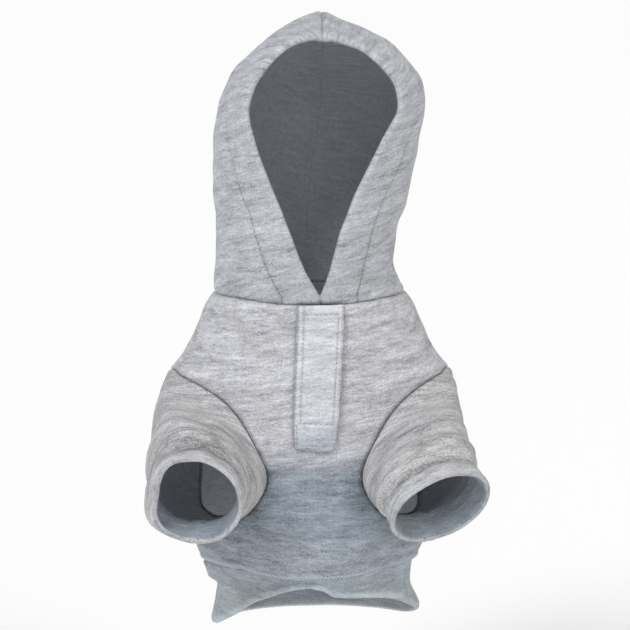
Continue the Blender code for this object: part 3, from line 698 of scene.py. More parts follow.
PLACKET = table(
    "down width shift",
    (0.00, 0.965, 0.145),
    (0.15, 0.97, 0.124),
    (0.30, 0.965, 0.100),
    (0.45, 0.96, 0.075),
    (0.60, 0.955, 0.046),
    (0.75, 0.945, 0.024),
    (0.88, 0.94, 0.010),
    (0.95, 0.915, -0.003),
    (1.00, 0.865, -0.020),
)
BAND_EDGE = table(
    "around drop",
    (-180, 1.00),
    (-115, 0.98),
    (-80, 0.88),
    (-52, 0.62),
    (-38, 0.41),
    (-28, 0.30),
    (-14, 0.15),
    (-4, 0.11),
    (3, 0.15),
    (10, 0.26),
    (30, 0.33),
    (45, 0.39),
    (80, 0.69),
    (120, 0.95),
    (180, 1.00),
)
BAND = table(
    "down girth shift",
    (0.00, 0.985, 0.000),
    (0.12, 0.945, 0.006),
    (0.45, 0.920, 0.014),
    (0.85, 0.950, 0.016),
    (1.00, 0.960, 0.015),
)
print("tables:", 11)

# %% [markdown]
# ## Where the seams run
# The body is an oval that changes with height. The armholes are closed curves drawn on it, and each
# sleeve leaves its armhole at a slant. Front, back and sleeve all read the same functions, so they
# meet without fitting. Distances to the nearest seam are measured too, because cloth rolls in there.

# %% The body's surface
BODY_TURN = 0.075  # metres of cloth for each radian round the body
BODY_CREASES = crease_table(
    (-0.086, -0.1490, -0.056, -0.1600, 0.0030, -0.0016),  # crease above the band, on the right
    (-0.076, -0.1400, -0.050, -0.1500, 0.0035, 0.0010),
    (-0.040, -0.1440, -0.012, -0.1470, 0.0030, 0.0006),
    (0.020, -0.1430, 0.052, -0.1380, 0.0040, 0.0006),
    (-0.044, -0.1230, -0.020, -0.1120, 0.0045, -0.0010),  # drag lines from the underarms
    (0.046, -0.1230, 0.022, -0.1140, 0.0045, -0.0010),
    (-0.058, -0.0360, -0.024, -0.0560, 0.0060, 0.0007),  # soft folds from the shoulders
    (0.060, -0.0360, 0.030, -0.0600, 0.0060, 0.0008),
    (-0.050, -0.0120, -0.024, -0.0180, 0.0050, -0.0006),
    (0.052, -0.0100, 0.024, -0.0170, 0.0050, -0.0006),
    (0.140, -0.0300, 0.150, -0.1100, 0.0080, 0.0009),  # long folds down the back
    (-0.170, -0.0400, -0.155, -0.1200, 0.0090, 0.0010),
    (0.205, -0.1450, 0.160, -0.1350, 0.0050, -0.0009),
)
NECK_SAG = 0.0022  # how far the neck seam dips in front
WAIST_SAG = 0.0022
CROWN_SLUMP = 0.0042  # the hood's top sinks towards +X


def sag(points):
    """The level seams hang in front, by bell curves of x and of the height, and the crown slumps."""
    x, y, z = points[..., 0], points[..., 1], points[..., 2]
    front = ease((0.005 - y) / 0.035)
    neck = flat_topped(x, NECK_SAG, 0.034) * raised(z, 1.0, 0.016)
    waist = WAIST_SAG * (flat_topped(x, 1.0, 0.033) - 0.70 * ease((np.abs(x) - 0.012) / 0.040))
    waist = waist * raised(z + BODY_LENGTH, 1.0, 0.012)
    slump = raised(x - 0.036, CROWN_SLUMP, 0.036) * ease((z - 0.105) / 0.045)
    return points - (front * (neck + waist) + slump)[..., None] * (0.0, 0.0, 1.0)


def body_section(z):
    """Half width, half depth and middle of the oval: two sizes blended by the tables' shares."""
    upper = np.clip(-z / ARMHOLE_DROP, 0.0, 1.0)
    lower = np.clip((-z - ARMHOLE_DROP) / (BODY_LENGTH - ARMHOLE_DROP), 0.0, 1.0)
    above = -z < ARMHOLE_DROP

    def read(column):
        return np.where(above, look_up(SHOULDERS, column, upper), look_up(TRUNK, column, lower))

    width = blend(np.where(above, NECK_WIDTH, WAIST_WIDTH), SHOULDER_WIDTH, read("spread"))
    depth = blend(np.where(above, NECK_DEPTH, WAIST_DEPTH), CHEST_DEPTH, read("fullness"))
    return 0.5 * width, 0.5 * depth, -read("forward") * CHEST_DEPTH


def body_swell(around, z):
    """The large folds: for each row, out times a bell curve of the turn and the fall."""
    total = np.zeros_like(around)
    for at, down, wide, tall, lean, out in zip(*BODY_FOLDS.values()):
        turn = short_way(around, at) / wide
        fall = (-z / BODY_LENGTH - down - lean * turn) / tall
        total = total + out * CHEST_DEPTH * np.exp(-turn * turn - fall * fall)
    return total


def body_relief(around, z):
    """Waves and creases, which fade out towards the neck seam and the waist seam."""
    u = np.radians(short_way(around, 0.0)) * BODY_TURN
    held = ease(-z / 0.008) * ease((z + BODY_LENGTH) / 0.006)
    waves = two_waves(u, z, ((0.0007, 0.027), (0.00035, 0.011)), 3, 5)
    return held * (waves + creases(u, z, BODY_CREASES))


def body_point(around, z):
    """x = (half width + swell) sin(turn), y = middle - (half depth + swell) cos(turn)."""
    around, z = np.broadcast_arrays(np.asarray(around, float), np.asarray(z, float))
    half_width, half_depth, middle = body_section(z)
    turn = np.radians(around)
    swell = body_swell(around, z) + body_relief(around, z)
    x = (half_width + swell) * np.sin(turn)
    y = middle - (half_depth + swell) * np.cos(turn)
    return np.stack([x, y, z], axis=-1)


def body_normal(around, z):
    """The outward normal: the cross product of a short step down and a short step round."""
    turn, fall = 0.4, 0.0004
    across = body_point(around + turn, z) - body_point(around - turn, z)
    return unit(np.cross(body_point(around, z - fall) - body_point(around, z + fall), across))


# %% The armholes
FRONT_STEPS, BACK_STEPS = 92, 64


def rounded(values, reach):
    """Values round a ring, averaged with their neighbours by a bell curve of the steps between."""
    steps = np.arange(-2 * reach, 2 * reach + 1)
    share = np.exp(-((steps / reach) ** 2))
    return sum(w * np.roll(values, -k, axis=0) for k, w in zip(steps, share / share.sum()))


def armhole(side):
    """The closed seam line, and at each of its points how the sleeve leaves the body."""
    fine = 60
    places = np.arange(len(ARMHOLE["around"]) * fine + 1) / fine
    around = side * loop_through(ARMHOLE["around"], places)
    z = -ARMHOLE_DROP - ARMHOLE_HEIGHT * loop_through(ARMHOLE["down"], places)
    length = length_along(body_point(around, z), 0)
    bottom = length[ARMHOLE_BOTTOM * fine]
    front = np.linspace(0.0, bottom, FRONT_STEPS + 1)
    marks = np.concatenate([front, np.linspace(bottom, length[-1], BACK_STEPS + 1)[1:-1]])
    at = np.interp(marks, length, places)
    seam = {"around": side * loop_through(ARMHOLE["around"], at), "share": marks / length[-1]}
    seam["z"] = -ARMHOLE_DROP - ARMHOLE_HEIGHT * loop_through(ARMHOLE["down"], at)
    seam["points"] = body_point(seam["around"], seam["z"])
    normal = unit(rounded(body_normal(seam["around"], seam["z"]), 6))
    seam["along"] = unit(rounded(along_line(seam["points"], ring=True), 3))
    into = np.cross(seam["along"], normal)
    into = unit(into * np.sign(np.sum(into * (seam["points"].mean(axis=0) - seam["points"]))))
    lift = np.radians(loop_through(ARMHOLE["lift"], at))[:, None]
    seam["leave"] = np.cos(lift) * into + np.sin(lift) * normal
    seam["into"] = into
    seam["reach"] = loop_through(ARMHOLE["reach"], at)[:, None]
    seam["sleeve_normal"] = np.cos(lift) * normal - np.sin(lift) * into
    seam["step"] = mitre(normal, seam["sleeve_normal"], FLEECE)
    return seam


def clearance(line, step, toward, ring=False):
    """Half the seam gap, square to the seam's face, to the side that toward points to."""
    away = unit(np.cross(along_line(line, ring), step))
    return 0.5 * SEAM_GAP * away * np.sign(dot(away, toward))


def seam_distance(grid, lines):
    """The distance from each grid point to the nearest point of some lines."""
    points = grid.reshape(-1, 3)
    finer = [read_line(np.linspace(0, len(l) - 1, 3 * len(l)), np.arange(len(l)), l) for l in lines]
    line = np.concatenate(finer)
    square = (points**2).sum(1)[:, None] + (line**2).sum(1)[None] - 2.0 * points @ line.T
    return np.sqrt(np.maximum(square.min(1), 0.0)).reshape(grid.shape[:2])


SEAMS = {1: armhole(1), -1: armhole(-1)}
print("armhole round:", round(float(length_along(SEAMS[1]["points"], 0)[-1]), 3), "m")

# %% [markdown]
# ## The body panels
# Front and back are one row of cloth each, cut out round the sleeves. The rows are crowded near the
# neck and the waist, where the seams draw the cloth in, and each row eases from the armhole's
# heights at its ends to even heights in the middle, so no fold in the grid shows.

# %% Front and back
COURSE_TILT = 0.14  # the courses of the chest rise towards +X
SHOULDER_ROWS, SIDE_ROWS, FRONT_COLUMNS, BACK_COLUMNS = 31, 29, 190, 170


def body_panel(name, cloth, order, columns, behind):
    """Row heights = even heights blended with the edge's by the cube of the distance from the middle."""
    shoulder = crowded(0.0, 1.0, SHOULDER_ROWS, 0.6)[:-1]
    side_seam = crowded(0.0, 1.0, SIDE_ROWS, 0.6)[1:]
    left, right = SEAMS[1], SEAMS[-1]
    top, bottom = order[0], order[-1]
    around = np.concatenate([
        blend(SHOULDER_SEAM_AT_NECK, left["around"][top], shoulder),
        left["around"][order],
        blend(left["around"][bottom], SIDE_SEAM_AT_WAIST, side_seam),
    ])
    below = blend(left["z"][bottom], -BODY_LENGTH, side_seam)
    z = np.concatenate([left["z"][top] * shoulder, left["z"][order], below])
    share = crowded(-1.0, 1.0, columns, 0.55)[None, :]
    even = -BODY_LENGTH * crowded(0.0, 1.0, len(z), 0.55)
    middle = blend(even, z, ROWS_KEEP_EDGE)
    heights = middle[:, None] + (z - middle)[:, None] * np.abs(share) ** ROW_EASE
    turns = 180.0 - (180.0 - around)[:, None] * share if behind else around[:, None] * share
    outer = body_point(turns, heights)
    normal = body_normal(turns, heights)
    step = -FLEECE * normal
    step[0], step[-1] = level_step(normal[0], FLEECE), level_step(normal[-1], FLEECE)
    cut = slice(len(shoulder), len(shoulder) + len(order))
    step[cut, -1], step[cut, 0] = left["step"][order], right["step"][order]

    sewn = seam_distance(outer, [outer[0], outer[:, 0], outer[:, -1]])
    waist = seam_distance(outer, [outer[-1]])
    relief = sewn_edge(sewn) + roll_in(waist, 0.0006, 0.0008) + raised(waist - 0.0030, 0.0006, 0.0014)
    inside = flat_topped(np.minimum(sewn, waist), 0.0011)
    shift = np.zeros_like(outer)
    shift[0, :, 2] -= 0.5 * SEAM_GAP
    shift[-1, :, 2] += 0.5 * SEAM_GAP
    shift[:, -1] += clearance(outer[:, -1], step[:, -1], outer[:, -2] - outer[:, -1])
    shift[:, 0] += clearance(outer[:, 0], step[:, 0], outer[:, 1] - outer[:, 0])
    unit_step = unit(step)
    inner = outer + shift + step + unit_step * inside[..., None]
    outer = outer + shift - unit_step * relief[..., None]
    u = np.radians(turns) * BODY_TURN
    high = outer[..., 2]
    tilt = COURSE_TILT * ease((high + 0.125) / 0.05)
    uv = np.stack([u, heights - tilt * outer[..., 0]], -1)
    # Painted shadow beside the lower front of each armhole, painted shade in the seams' grooves, and a lighter
    # line on the lip above the waist seam, partly painted highlight.
    painted_sleeve_shadow = 0.0 if behind else ease((-0.080 - high) / 0.025) * ease((high + 0.150) / 0.020)
    wear_and_painted_light = raised(waist - 0.003, 0.9, 0.0018) - raised(sewn, 0.7, 0.0008) - painted_sleeve_shadow * raised(sewn, 1.1, 0.0100)
    outer, inner = sag(outer), sag(inner)
    piece = cloth_wall(name, outer, inner, uv, (cloth, INSIDE_CLOTH), wear_and_painted_light=wear_and_painted_light)
    return piece, outer


steps_round = FRONT_STEPS + BACK_STEPS
front_order = np.arange(FRONT_STEPS + 1)
back_order = np.arange(steps_round, FRONT_STEPS - 1, -1) % steps_round
front_cloth, front_outer = body_panel("front_cloth", BODY_CLOTH, front_order, FRONT_COLUMNS, behind=False)
back_cloth, back_outer = body_panel("back_cloth", BODY_CLOTH, back_order, BACK_COLUMNS, behind=True)

# %% [markdown]
# ## The sleeves
# A sleeve is a tube that is round at the cuff and follows the armhole at the body. One cubic curve
# leaves each point of the armhole at the cloth's slant and arrives square to the cuff. The hem is
# turned in twice as thick, and its stitches, one grey row or two pale ones, pull a groove into it.

# %% Sleeve shapes
SLEEVE_CREASES = {
    -1: crease_table(
        (0.055, 0.0250, 0.120, 0.0250, 0.0030, 0.0011),  # ridge above the hem
        (0.060, 0.0330, 0.125, 0.0320, 0.0042, -0.0010),
        (0.030, 0.0420, 0.090, 0.0400, 0.0050, 0.0011),
        (0.085, 0.0520, 0.120, 0.0470, 0.0060, 0.0010),
        (0.020, 0.0600, 0.060, 0.0520, 0.0060, -0.0008),
    ),
    1: crease_table(
        (0.050, 0.0270, 0.130, 0.0260, 0.0036, 0.0009),
        (0.060, 0.0350, 0.120, 0.0340, 0.0045, -0.0009),
        (0.060, 0.0440, 0.125, 0.0450, 0.0055, 0.0011),
        (0.070, 0.0600, 0.110, 0.0560, 0.0060, 0.0009),
        (0.010, 0.0300, 0.040, 0.0290, 0.0045, -0.0008),
    ),
}
SLEEVE_GIRTH = 0.185
SLEEVE_ROWS, HEM_ROWS = 84, 27
SMOOTHED = 60  # how often the tube is ironed
HEM_STITCH = {-1: 0.0260, 1: 0.0155}  # from the rim to the stitches
HEM_GROOVE = (0.0008, 0.0011)  # depth and width
HEM_VALLEY = {  # place, depth, width and width of its painted shade
    -1: (0.0142, 0.0026, 0.0055, 0.0070),
    1: (0.0100, 0.0010, 0.0026, 0.0022),
}
RIM_TUCK = {-1: (345.0, 52.0, 0.0122), 1: (60.0, 40.0, 0.0)}  # turn, spread and how far the rim turns in
PUFF_LESS = {-1: 0.60, 1: 0.30}  # the sleeve hangs flatter on its outer side
RIM_PRESSED = 0.60  # the two layers are pressed together at the fold
RIM_LUMPS = table("side turn wide out", (-1, 330, 40, 0.0108), (-1, 45, 30, 0.0008), (1, 300, 40, 0.0008))


def ironed(grid, times):
    """Each point moves half way to the mean of its four neighbours, times over; the end rows stay."""
    for _ in range(times):
        across = 0.5 * (np.roll(grid, 1, 1) + np.roll(grid, -1, 1))
        middle = 0.25 * (grid[:-2] + grid[2:]) + 0.5 * across[1:-1]
        grid = np.concatenate([grid[:1], 0.5 * (grid[1:-1] + middle), grid[-1:]])
    return grid


def cuff_frame(row):
    """The cuff's middle, its outward axis and the two half axes of its oval, from the table."""
    cuff = {name: column[row] for name, column in CUFFS.items()}
    side = cuff["side"]
    pitch, yaw, roll = (np.radians(cuff[name]) for name in ("pitch", "yaw", "roll"))
    ahead = np.cos(pitch)
    axis = np.array([side * np.sin(yaw) * ahead, -np.cos(yaw) * ahead, -np.sin(pitch)])
    lateral = side * np.array([np.cos(yaw), side * np.sin(yaw), 0.0])
    upward = np.cross(axis, lateral) * side
    upward = upward * np.sign(upward[2])
    wide = np.cos(roll) * lateral + np.sin(roll) * upward
    tall = np.cos(roll) * upward - np.sin(roll) * lateral
    across = side * cuff["across"] * 0.5 * SHOULDER_WIDTH
    place = np.array([across, -cuff["forward"] * SLEEVE_REACH, -cuff["down"] * BODY_LENGTH])
    half = 0.5 * CUFF_DIAMETER
    return place, axis, wide * half * cuff["wide"], tall * half * cuff["tall"], cuff["roll"]


def sleeve(name, cloth, row):
    """Cubic curves from armhole to hem line, straight to the rim, moved along the normal by the relief."""
    side = int(CUFFS["side"][row])
    seam = SEAMS[side]
    centre, axis, wide, tall, roll = cuff_frame(row)
    degrees = SLEEVE_TOP_TURN - roll + 360.0 * seam["share"]
    turn = np.radians(degrees)[:, None]
    lumps = np.zeros(len(degrees))
    for lump_side, at, spread, out in zip(*RIM_LUMPS.values()):
        lumps = lumps + raised(short_way(degrees, at), out, spread) * (lump_side == side)
    spokes = np.cos(turn) * wide + np.sin(turn) * tall
    rim = centre + spokes + unit(spokes) * lumps[:, None]
    hem_line = rim - unit(spokes) * 0.75 * lumps[:, None] - SLEEVE_HEM * axis
    tuck_at, tuck_spread, tuck = RIM_TUCK[side]
    tucked = unit(spokes) * raised(short_way(degrees, tuck_at), tuck, tuck_spread)[:, None]
    start = seam["points"]
    distance = np.linalg.norm(hem_line - start, axis=1, keepdims=True)
    ahead = dot(hem_line - start, seam["along"]) / distance
    leave = seam["leave"] + SLEEVE_SKEW * ahead * seam["along"]
    even = np.linspace(0.0, 1.0, SLEEVE_ROWS)
    t = blend(even, np.sin(0.5 * np.pi * even - 0.5 * np.pi) + 1.0, 0.45)[:, None, None]
    reach = np.minimum(1.0, seam["reach"] * CUFFS["fullness"][row])
    grid = hermite(start, distance * reach * leave, hem_line, SLEEVE_ARRIVAL * distance * axis, t)
    hem = np.sin(0.5 * np.pi * np.linspace(0.0, 1.0, HEM_ROWS))[1:, None, None]
    grid = np.concatenate([grid, blend(hem_line[None], rim[None], hem) - tucked * hem**4])

    def outward(points):
        normal = grid_normals(points, ring=True)
        normal[0] = seam["sleeve_normal"]
        normal[1:] *= np.sign(np.sum(normal[1] * normal[0]))
        return normal

    puff = look_up(SLEEVE_PUFF, "out", t)
    scale = np.minimum(1.0, distance / (SLEEVE_FULL_AT * CUFF_DIAMETER))
    puff = puff * scale * (1.0 - raised(short_way(degrees, 0.0), PUFF_LESS[side], 62.0))[None, :, None]
    hem_swell = look_up(CUFF_HEM, "out", hem) * blend(scale, 1.0, ease(hem / 0.4))
    raw = grid + outward(grid) * np.concatenate([puff, hem_swell]) * CUFF_DIAMETER
    smooth = blend(raw, ironed(raw, SMOOTHED), ease(length_along(raw, 0) / 0.012)[..., None])

    from_rim = length_along(smooth[::-1], 0)[::-1]
    round_it = (seam["share"] - seam["share"][FRONT_STEPS]) % 1.0
    u = np.broadcast_to(round_it * SLEEVE_GIRTH, from_rim.shape)
    held = ease(length_along(smooth, 0) / 0.012) * np.sin(np.pi * round_it) ** 0.5
    waves = two_waves(u, from_rim, ((0.0008, 0.023), (0.0004, 0.009)), 11 + row, 21 + row)
    waves = held * (waves + 1.4 * creases(u, from_rim, SLEEVE_CREASES[side]))
    waves = waves + 0.0004 * np.sin(2.0 * np.pi * u / 0.023) * raised(from_rim - 0.008, 1.0, 0.006)
    smooth = smooth + outward(smooth) * waves[..., None]
    normal = outward(smooth)

    seam_far = seam_distance(smooth, [start[list(range(len(start))) + [0]]])
    under = np.abs((round_it + 0.5) % 1.0 - 0.5) * SLEEVE_GIRTH
    hem_at = HEM_STITCH[side]
    pull = 1.0 + 0.2 * np.sin(2.0 * np.pi * u / 0.0042)
    relief = roll_in(seam_far, 0.0008, 0.0009) + roll_in(under, 0.0006, 0.0009)
    relief = relief + roll_in(from_rim - hem_at, *HEM_GROOVE) * pull
    relief = relief + raised(from_rim - hem_at - 0.004, 0.0007, 0.0025)
    valley_at, valley, valley_wide, valley_shade = HEM_VALLEY[side]
    on_top = raised(short_way(degrees, 95.0), 1.0, 80.0)
    relief = relief + roll_in(from_rim - valley_at, valley, valley_wide) * (0.2 + 0.8 * on_top)
    outer = smooth + normal * relief[..., None]
    pressed = 1.0 - raised(from_rim, RIM_PRESSED, 0.0050)
    layers = 1.0 + (HEM_LAYERS - 1.0) * ease((hem_at - 0.0010 - from_rim) / 0.0020 + 1.0) * pressed
    inside = flat_topped(np.minimum(seam_far, under), 0.0010)
    step = -normal * (FLEECE * layers + inside)[..., None]
    step[0] = seam["step"]
    away = clearance(start, seam["step"], seam["into"], ring=True)
    outer[0], smooth[0] = outer[0] + away, smooth[0] + away
    inner = smooth + step

    first = FRONT_STEPS
    outer, inner = np.roll(outer, -first, axis=1), np.roll(inner, -first, axis=1)
    around = np.append(np.roll(round_it, -first), 1.0) * SLEEVE_GIRTH
    down = np.roll(from_rim, -first, axis=1)
    fall = np.concatenate([down, down[:, :1]], axis=1)
    uv = np.stack([np.broadcast_to(around, fall.shape), -fall], -1)
    # Painted shade in the hem's valley on top and along the armhole seam; the rim is lighter, partly painted
    # highlight.
    pressed = on_top * raised(from_rim - valley_at, 1.7, valley_shade) + raised(seam_far, 0.7, 0.0009)
    wear_and_painted_light = raised(down, 0.5, 0.0030) - np.roll(pressed, -first, axis=1)
    finishes = (cloth, INSIDE_CLOTH, TURNED_HEM_PAINTED_SHADE)
    piece = cloth_wall(name, outer, inner, uv, finishes, True, ("last",), wear_and_painted_light, down < hem_at - 0.001)
    return piece, outer, down


right_sleeve_cloth, right_outer, right_down = sleeve("right_sleeve_cloth", SLEEVE_CLOTH, 0)
left_sleeve_cloth, left_outer, left_down = sleeve("left_sleeve_cloth", SLEEVE_CLOTH, 1)

# %% [markdown]
# ## The hood
# Two shells are sewn along the crown and down the back. Each row of a shell is an oval arc from the
# face edge to the back seam. The face edge is turned in 25 mm wide, and the row of stitches that
# holds it draws a fine groove all round the opening.

# %% Hood shells
HOOD_CREASES = {
    -1: crease_table(
        (0.030, 0.0300, 0.065, 0.0120, 0.0050, 0.0009),
        (0.010, 0.0600, 0.045, 0.0450, 0.0060, -0.0009),
        (0.050, 0.0700, 0.090, 0.0480, 0.0070, 0.0010),
        (0.085, 0.0300, 0.120, 0.0450, 0.0060, -0.0010),
        (0.040, 0.1500, 0.090, 0.1300, 0.0080, 0.0010),
    ),
    1: crease_table(
        (0.028, 0.0140, 0.060, 0.0260, 0.0050, 0.0009),
        (0.050, 0.0500, 0.085, 0.0320, 0.0060, -0.0010),
        (0.010, 0.0750, 0.050, 0.0850, 0.0070, 0.0009),
        (0.085, 0.0300, 0.115, 0.0500, 0.0060, 0.0010),
        (0.040, 0.1400, 0.085, 0.1550, 0.0080, -0.0009),
    ),
}
HOOD_TILT = {-1: 0.30, 1: -0.14}  # how the courses run on each side
HOOD_ROWS = 150
ARC_STEPS = 361  # the steps along an arc before its points are placed
HOOD_STITCH = 0.0205  # from the face edge to the stitches
SEWN_TIGHT = 0.15  # the two shells meet closer than plain parts do, so no light falls through
DENT_PLACE, DENT_SPREAD, DENT_DEPTH = (-0.050, -0.010, 0.137), (0.020, 0.060, 0.026), 0.0038


def hood_grid(side):
    """Each row: x = lean + half sin(turn), y = middle - depth cos(turn), z eased by cos squared."""
    along = crowded(0.0, 1.0, HOOD_ROWS, 0.5)
    at = {name: look_up(HOOD, name, along)[:, None] for name in HOOD}
    half = 0.5 * HOOD_WIDTH * at["width"] * (1.0 + side * at["skew"])
    half[0] = 0.5 * NECK_WIDTH
    height, brow, nape = (HOOD_HEIGHT * at[name] for name in ("rise", "brow", "nape"))
    middle, back, front = HOOD_BACK * at["middle"], HOOD_BACK * at["back"], -HOOD_FRONT * at["front"]
    narrowest = 0.5 * HEM_LAYERS * FLEECE + SEAM_GAP
    fade = np.clip(1.0 - at["along"] / NOTCH_FADES, 0.0, 1.0)
    per_half = 1.0 / np.maximum(half, narrowest)
    open_share = np.maximum(at["face"], narrowest * per_half * (fade > 0.0))
    edge_turn = np.arcsin(open_share + side * fade * NOTCH_SHIFT * per_half)
    turn = edge_turn + (np.pi - edge_turn) * np.linspace(0.0, 1.0, ARC_STEPS)[None, :]
    sine, cosine = np.sin(turn), np.cos(turn)
    before = (middle - front) / np.cos(edge_turn)
    behind = back - middle
    before[0], behind[0] = 0.5 * NECK_DEPTH, 0.5 * NECK_DEPTH
    middle[0] = body_section(np.zeros(1))[2]
    y = middle - np.where(cosine > 0.0, before, behind) * cosine
    x = HOOD_WIDTH * at["lean"] + side * half * sine + HOOD_TURN * at["rise"] * y
    to_face = (brow - height) * (cosine / np.cos(edge_turn)) ** 2
    z = height + np.where(cosine > 0.0, to_face, (nape - height) * cosine**2)
    arcs = np.stack([x, y, z], axis=-1)

    hem = HOOD_HEM * np.concatenate([np.linspace(0.0, 0.72, 14)[:-1], np.linspace(0.72, 1.10, 26)])
    length = length_along(arcs, 1)
    after = crowded(0.0, 1.0, 86, 0.45)[1:]
    beyond = hem[-1] + after * (length[:, -1:] - hem[-1])
    marks = np.concatenate([np.broadcast_to(hem, (HOOD_ROWS, len(hem))), beyond], axis=1)
    return np.array([read_line(*row) for row in zip(marks, length, arcs)]), marks


def hood_normals(grid, side):
    normal = grid_normals(grid, ring=False)
    normal[-1, -1] = unit(normal[-1, -2] + normal[-2, -1])
    return normal * np.sign(np.sum(normal[..., 0] * side))


def hood(name, cloth, side):
    """The shell moved along its normals by waves, creases and seams, with a doubled face hem."""
    grids = {s: hood_grid(s) for s in (side, -side)}
    grid, marks = grids[side]
    v = length_along(grid, 0)
    rest = seam_distance(grid, [grid[0], grid[-1], grid[:, -1]])
    held = ease(rest / 0.010) * ease(marks / 0.02 * 0.7 + 0.3)
    waves = two_waves(marks, v, ((0.0009, 0.028), (0.0004, 0.011)), 31 + side, 41 + side)
    waves = held * (waves + creases(marks, v, HOOD_CREASES[side]))
    normals = {s: hood_normals(grids[s][0], s) for s in grids}
    normal, other = normals[side], normals[-side]
    layers = 1.0 + (HEM_LAYERS - 1.0) * ease((HOOD_HEM - 0.0008 - marks) / 0.0014 + 1.0)
    thickness = FLEECE * layers[..., None]
    step = -normal * thickness
    step[-1] = mitre(normal[-1], other[-1], thickness[-1])
    step[:, -1] = mitre(normal[:, -1], other[:, -1], FLEECE)
    step[0] = level_step(normal[0], thickness[0])
    step[0, -1] = level_step(unit(normal[0, -1] + other[0, -1]), FLEECE)
    pull = 1.0 + 0.25 * np.sin(2.0 * np.pi * v / 0.0040)
    waves = waves - np.exp(-(((grid - DENT_PLACE) / DENT_SPREAD) ** 2).sum(-1)) * DENT_DEPTH * (side == -1)
    relief = waves + sewn_edge(rest) + roll_in(marks - HOOD_STITCH, 0.0009, 0.0009) * pull
    relief = relief + raised(marks - HOOD_STITCH + 0.003, 0.0003, 0.0015)
    inside = flat_topped(rest, 0.0012)
    unit_step = unit(step)
    shift = np.zeros_like(grid)
    shift[0, :, 2] += 0.5 * SEAM_GAP
    shift[-1] += SEWN_TIGHT * clearance(grid[-1], step[-1], grid[-2] - grid[-1])
    shift[:, -1] += SEWN_TIGHT * clearance(grid[:, -1], step[:, -1], grid[:, -2] - grid[:, -1])
    outer = grid + shift - unit_step * relief[..., None]
    inner = grid + shift + step + unit_step * (inside - waves)[..., None]
    outer, inner = sag(outer), sag(inner)
    uv = np.stack([marks, v + HOOD_TILT[side] * marks], -1)
    # Painted shade in the stitch groove and along the seams; the face edge a little lighter, partly painted
    # highlight.
    wear_and_painted_light = raised(marks, 0.1, 0.0018) - raised(marks - HOOD_STITCH, 0.5, 0.0008) - raised(rest, 0.6, 0.0009)
    finishes = (cloth, INSIDE_CLOTH, TURNED_HEM_PAINTED_SHADE)
    piece = cloth_wall(name, outer, inner, uv, finishes, False, ("left",), wear_and_painted_light, marks < HOOD_HEM - 0.001)
    return piece, outer, marks


left_hood_cloth, left_hood_outer, left_marks = hood("left_hood_cloth", HOOD_CLOTH, 1)
right_hood_cloth, right_hood_outer, right_marks = hood("right_hood_cloth", HOOD_CLOTH, -1)

# %% [markdown]
# ## The placket
# A folded strip covers the short front opening. Its left edge in the picture is sewn down, its other
# edge is free and lifts a little, which is why a shadow runs beside it. The stitch lines press narrow
# valleys into it and the cloth between them stands up softly.

# %% Placket
STRIP_COLUMNS, STRIP_ROWS = 56, 150
FREE_LIFT = 0.0018  # the free edge stands off the body
PLACKET_LINES = table("across top bottom", (-0.355, 0.00, 0.82), (0.41, 0.055, 0.82), (-0.44, 0.83, 0.985))
PLACKET_CROSS = table("down left right", (0.822, -0.42, 0.41), (0.070, -0.35, 0.41))


def placket(name, cloth):
    """The body's surface, raised by one folded strip; stitch lines are valleys, the free edge lifts."""
    s = crowded(-0.5, 0.5, STRIP_COLUMNS, 0.6)[None, :]
    down = crowded(0.0, 1.0, STRIP_ROWS, 0.3)[:, None]
    x = PLACKET_WIDTH * (look_up(PLACKET, "shift", down) + s * look_up(PLACKET, "width", down))
    left, right = np.clip((s + 0.5) / 0.07, 0.0, 1.0), np.clip((0.5 - s) / 0.13, 0.0, 1.0)
    cut = sum(deep * (1.0 - np.sqrt(1.0 - (1.0 - e) ** 2)) for deep, e in ((0.014, left), (0.016, right)))
    slant = 0.016 * (s - 0.1)
    z = -SEAM_GAP - PLACKET_LENGTH * down * (0.998 - cut * down**4 + slant * down)
    s, down = np.broadcast_arrays(s, down)
    around = np.degrees(np.arcsin(x / body_section(z)[0]))
    under = body_point(around, z)
    normal = body_normal(around, z)
    normal[0, :, 2] = 0.0
    free = ease((s - 0.25) / 0.25) * ease(down / 0.10) * ease((0.86 - down) / 0.08)
    lift = PLACKET_LIFT + FREE_LIFT * free
    edge = np.minimum((0.5 - np.abs(s)) * PLACKET_WIDTH, (1.0 - down) * PLACKET_LENGTH)
    height = PLACKET_CLOTH + 0.0003 * ease(edge / 0.004) + 0.00018 * soft_waves(x, z, 0.006, 8)
    pressed = np.zeros_like(height)
    directions = ((PLACKET_LINES, s, PLACKET_WIDTH, down, 0.01), (PLACKET_CROSS, down, PLACKET_LENGTH, s, 0.03))
    for lines, place, size, walk, soft in directions:
        for at, start, end in zip(*lines.values()):
            within = ease((walk - start) / soft) * ease((end - walk) / soft)
            height = height + within * roll_in((place - at) * size, 0.0007, 0.0009)
            pressed = pressed + within * raised((place - at) * size, 0.6, 0.0008)
    height = height + roll_in(edge, 0.0005, 0.0009)
    inner = under + normal * lift[..., None]
    outer = inner + normal * height[..., None]
    outer, inner = sag(outer), sag(inner)
    uv = np.stack([x, z - 0.05 * x], -1)
    # Painted shade along the stitch lines, at the edges and as a dark line down the sewn left edge; a little
    # lighter just inside the edges, partly painted highlight.
    wear_and_painted_light = raised(edge - 0.0012, 0.3, 0.0008) - raised(edge, 0.8, 0.0007) - pressed
    wear_and_painted_light = wear_and_painted_light - raised((s + 0.5) * PLACKET_WIDTH, 1.5, 0.0008)
    folded = ("left", "right", "last")
    piece = cloth_wall(name, outer, inner, uv, (cloth, INSIDE_CLOTH), folded=folded, wear_and_painted_light=wear_and_painted_light)
    return piece, outer, s, down


placket_cloth, placket_outer, placket_s, placket_down = placket("placket_strip", STRIP_CLOTH)

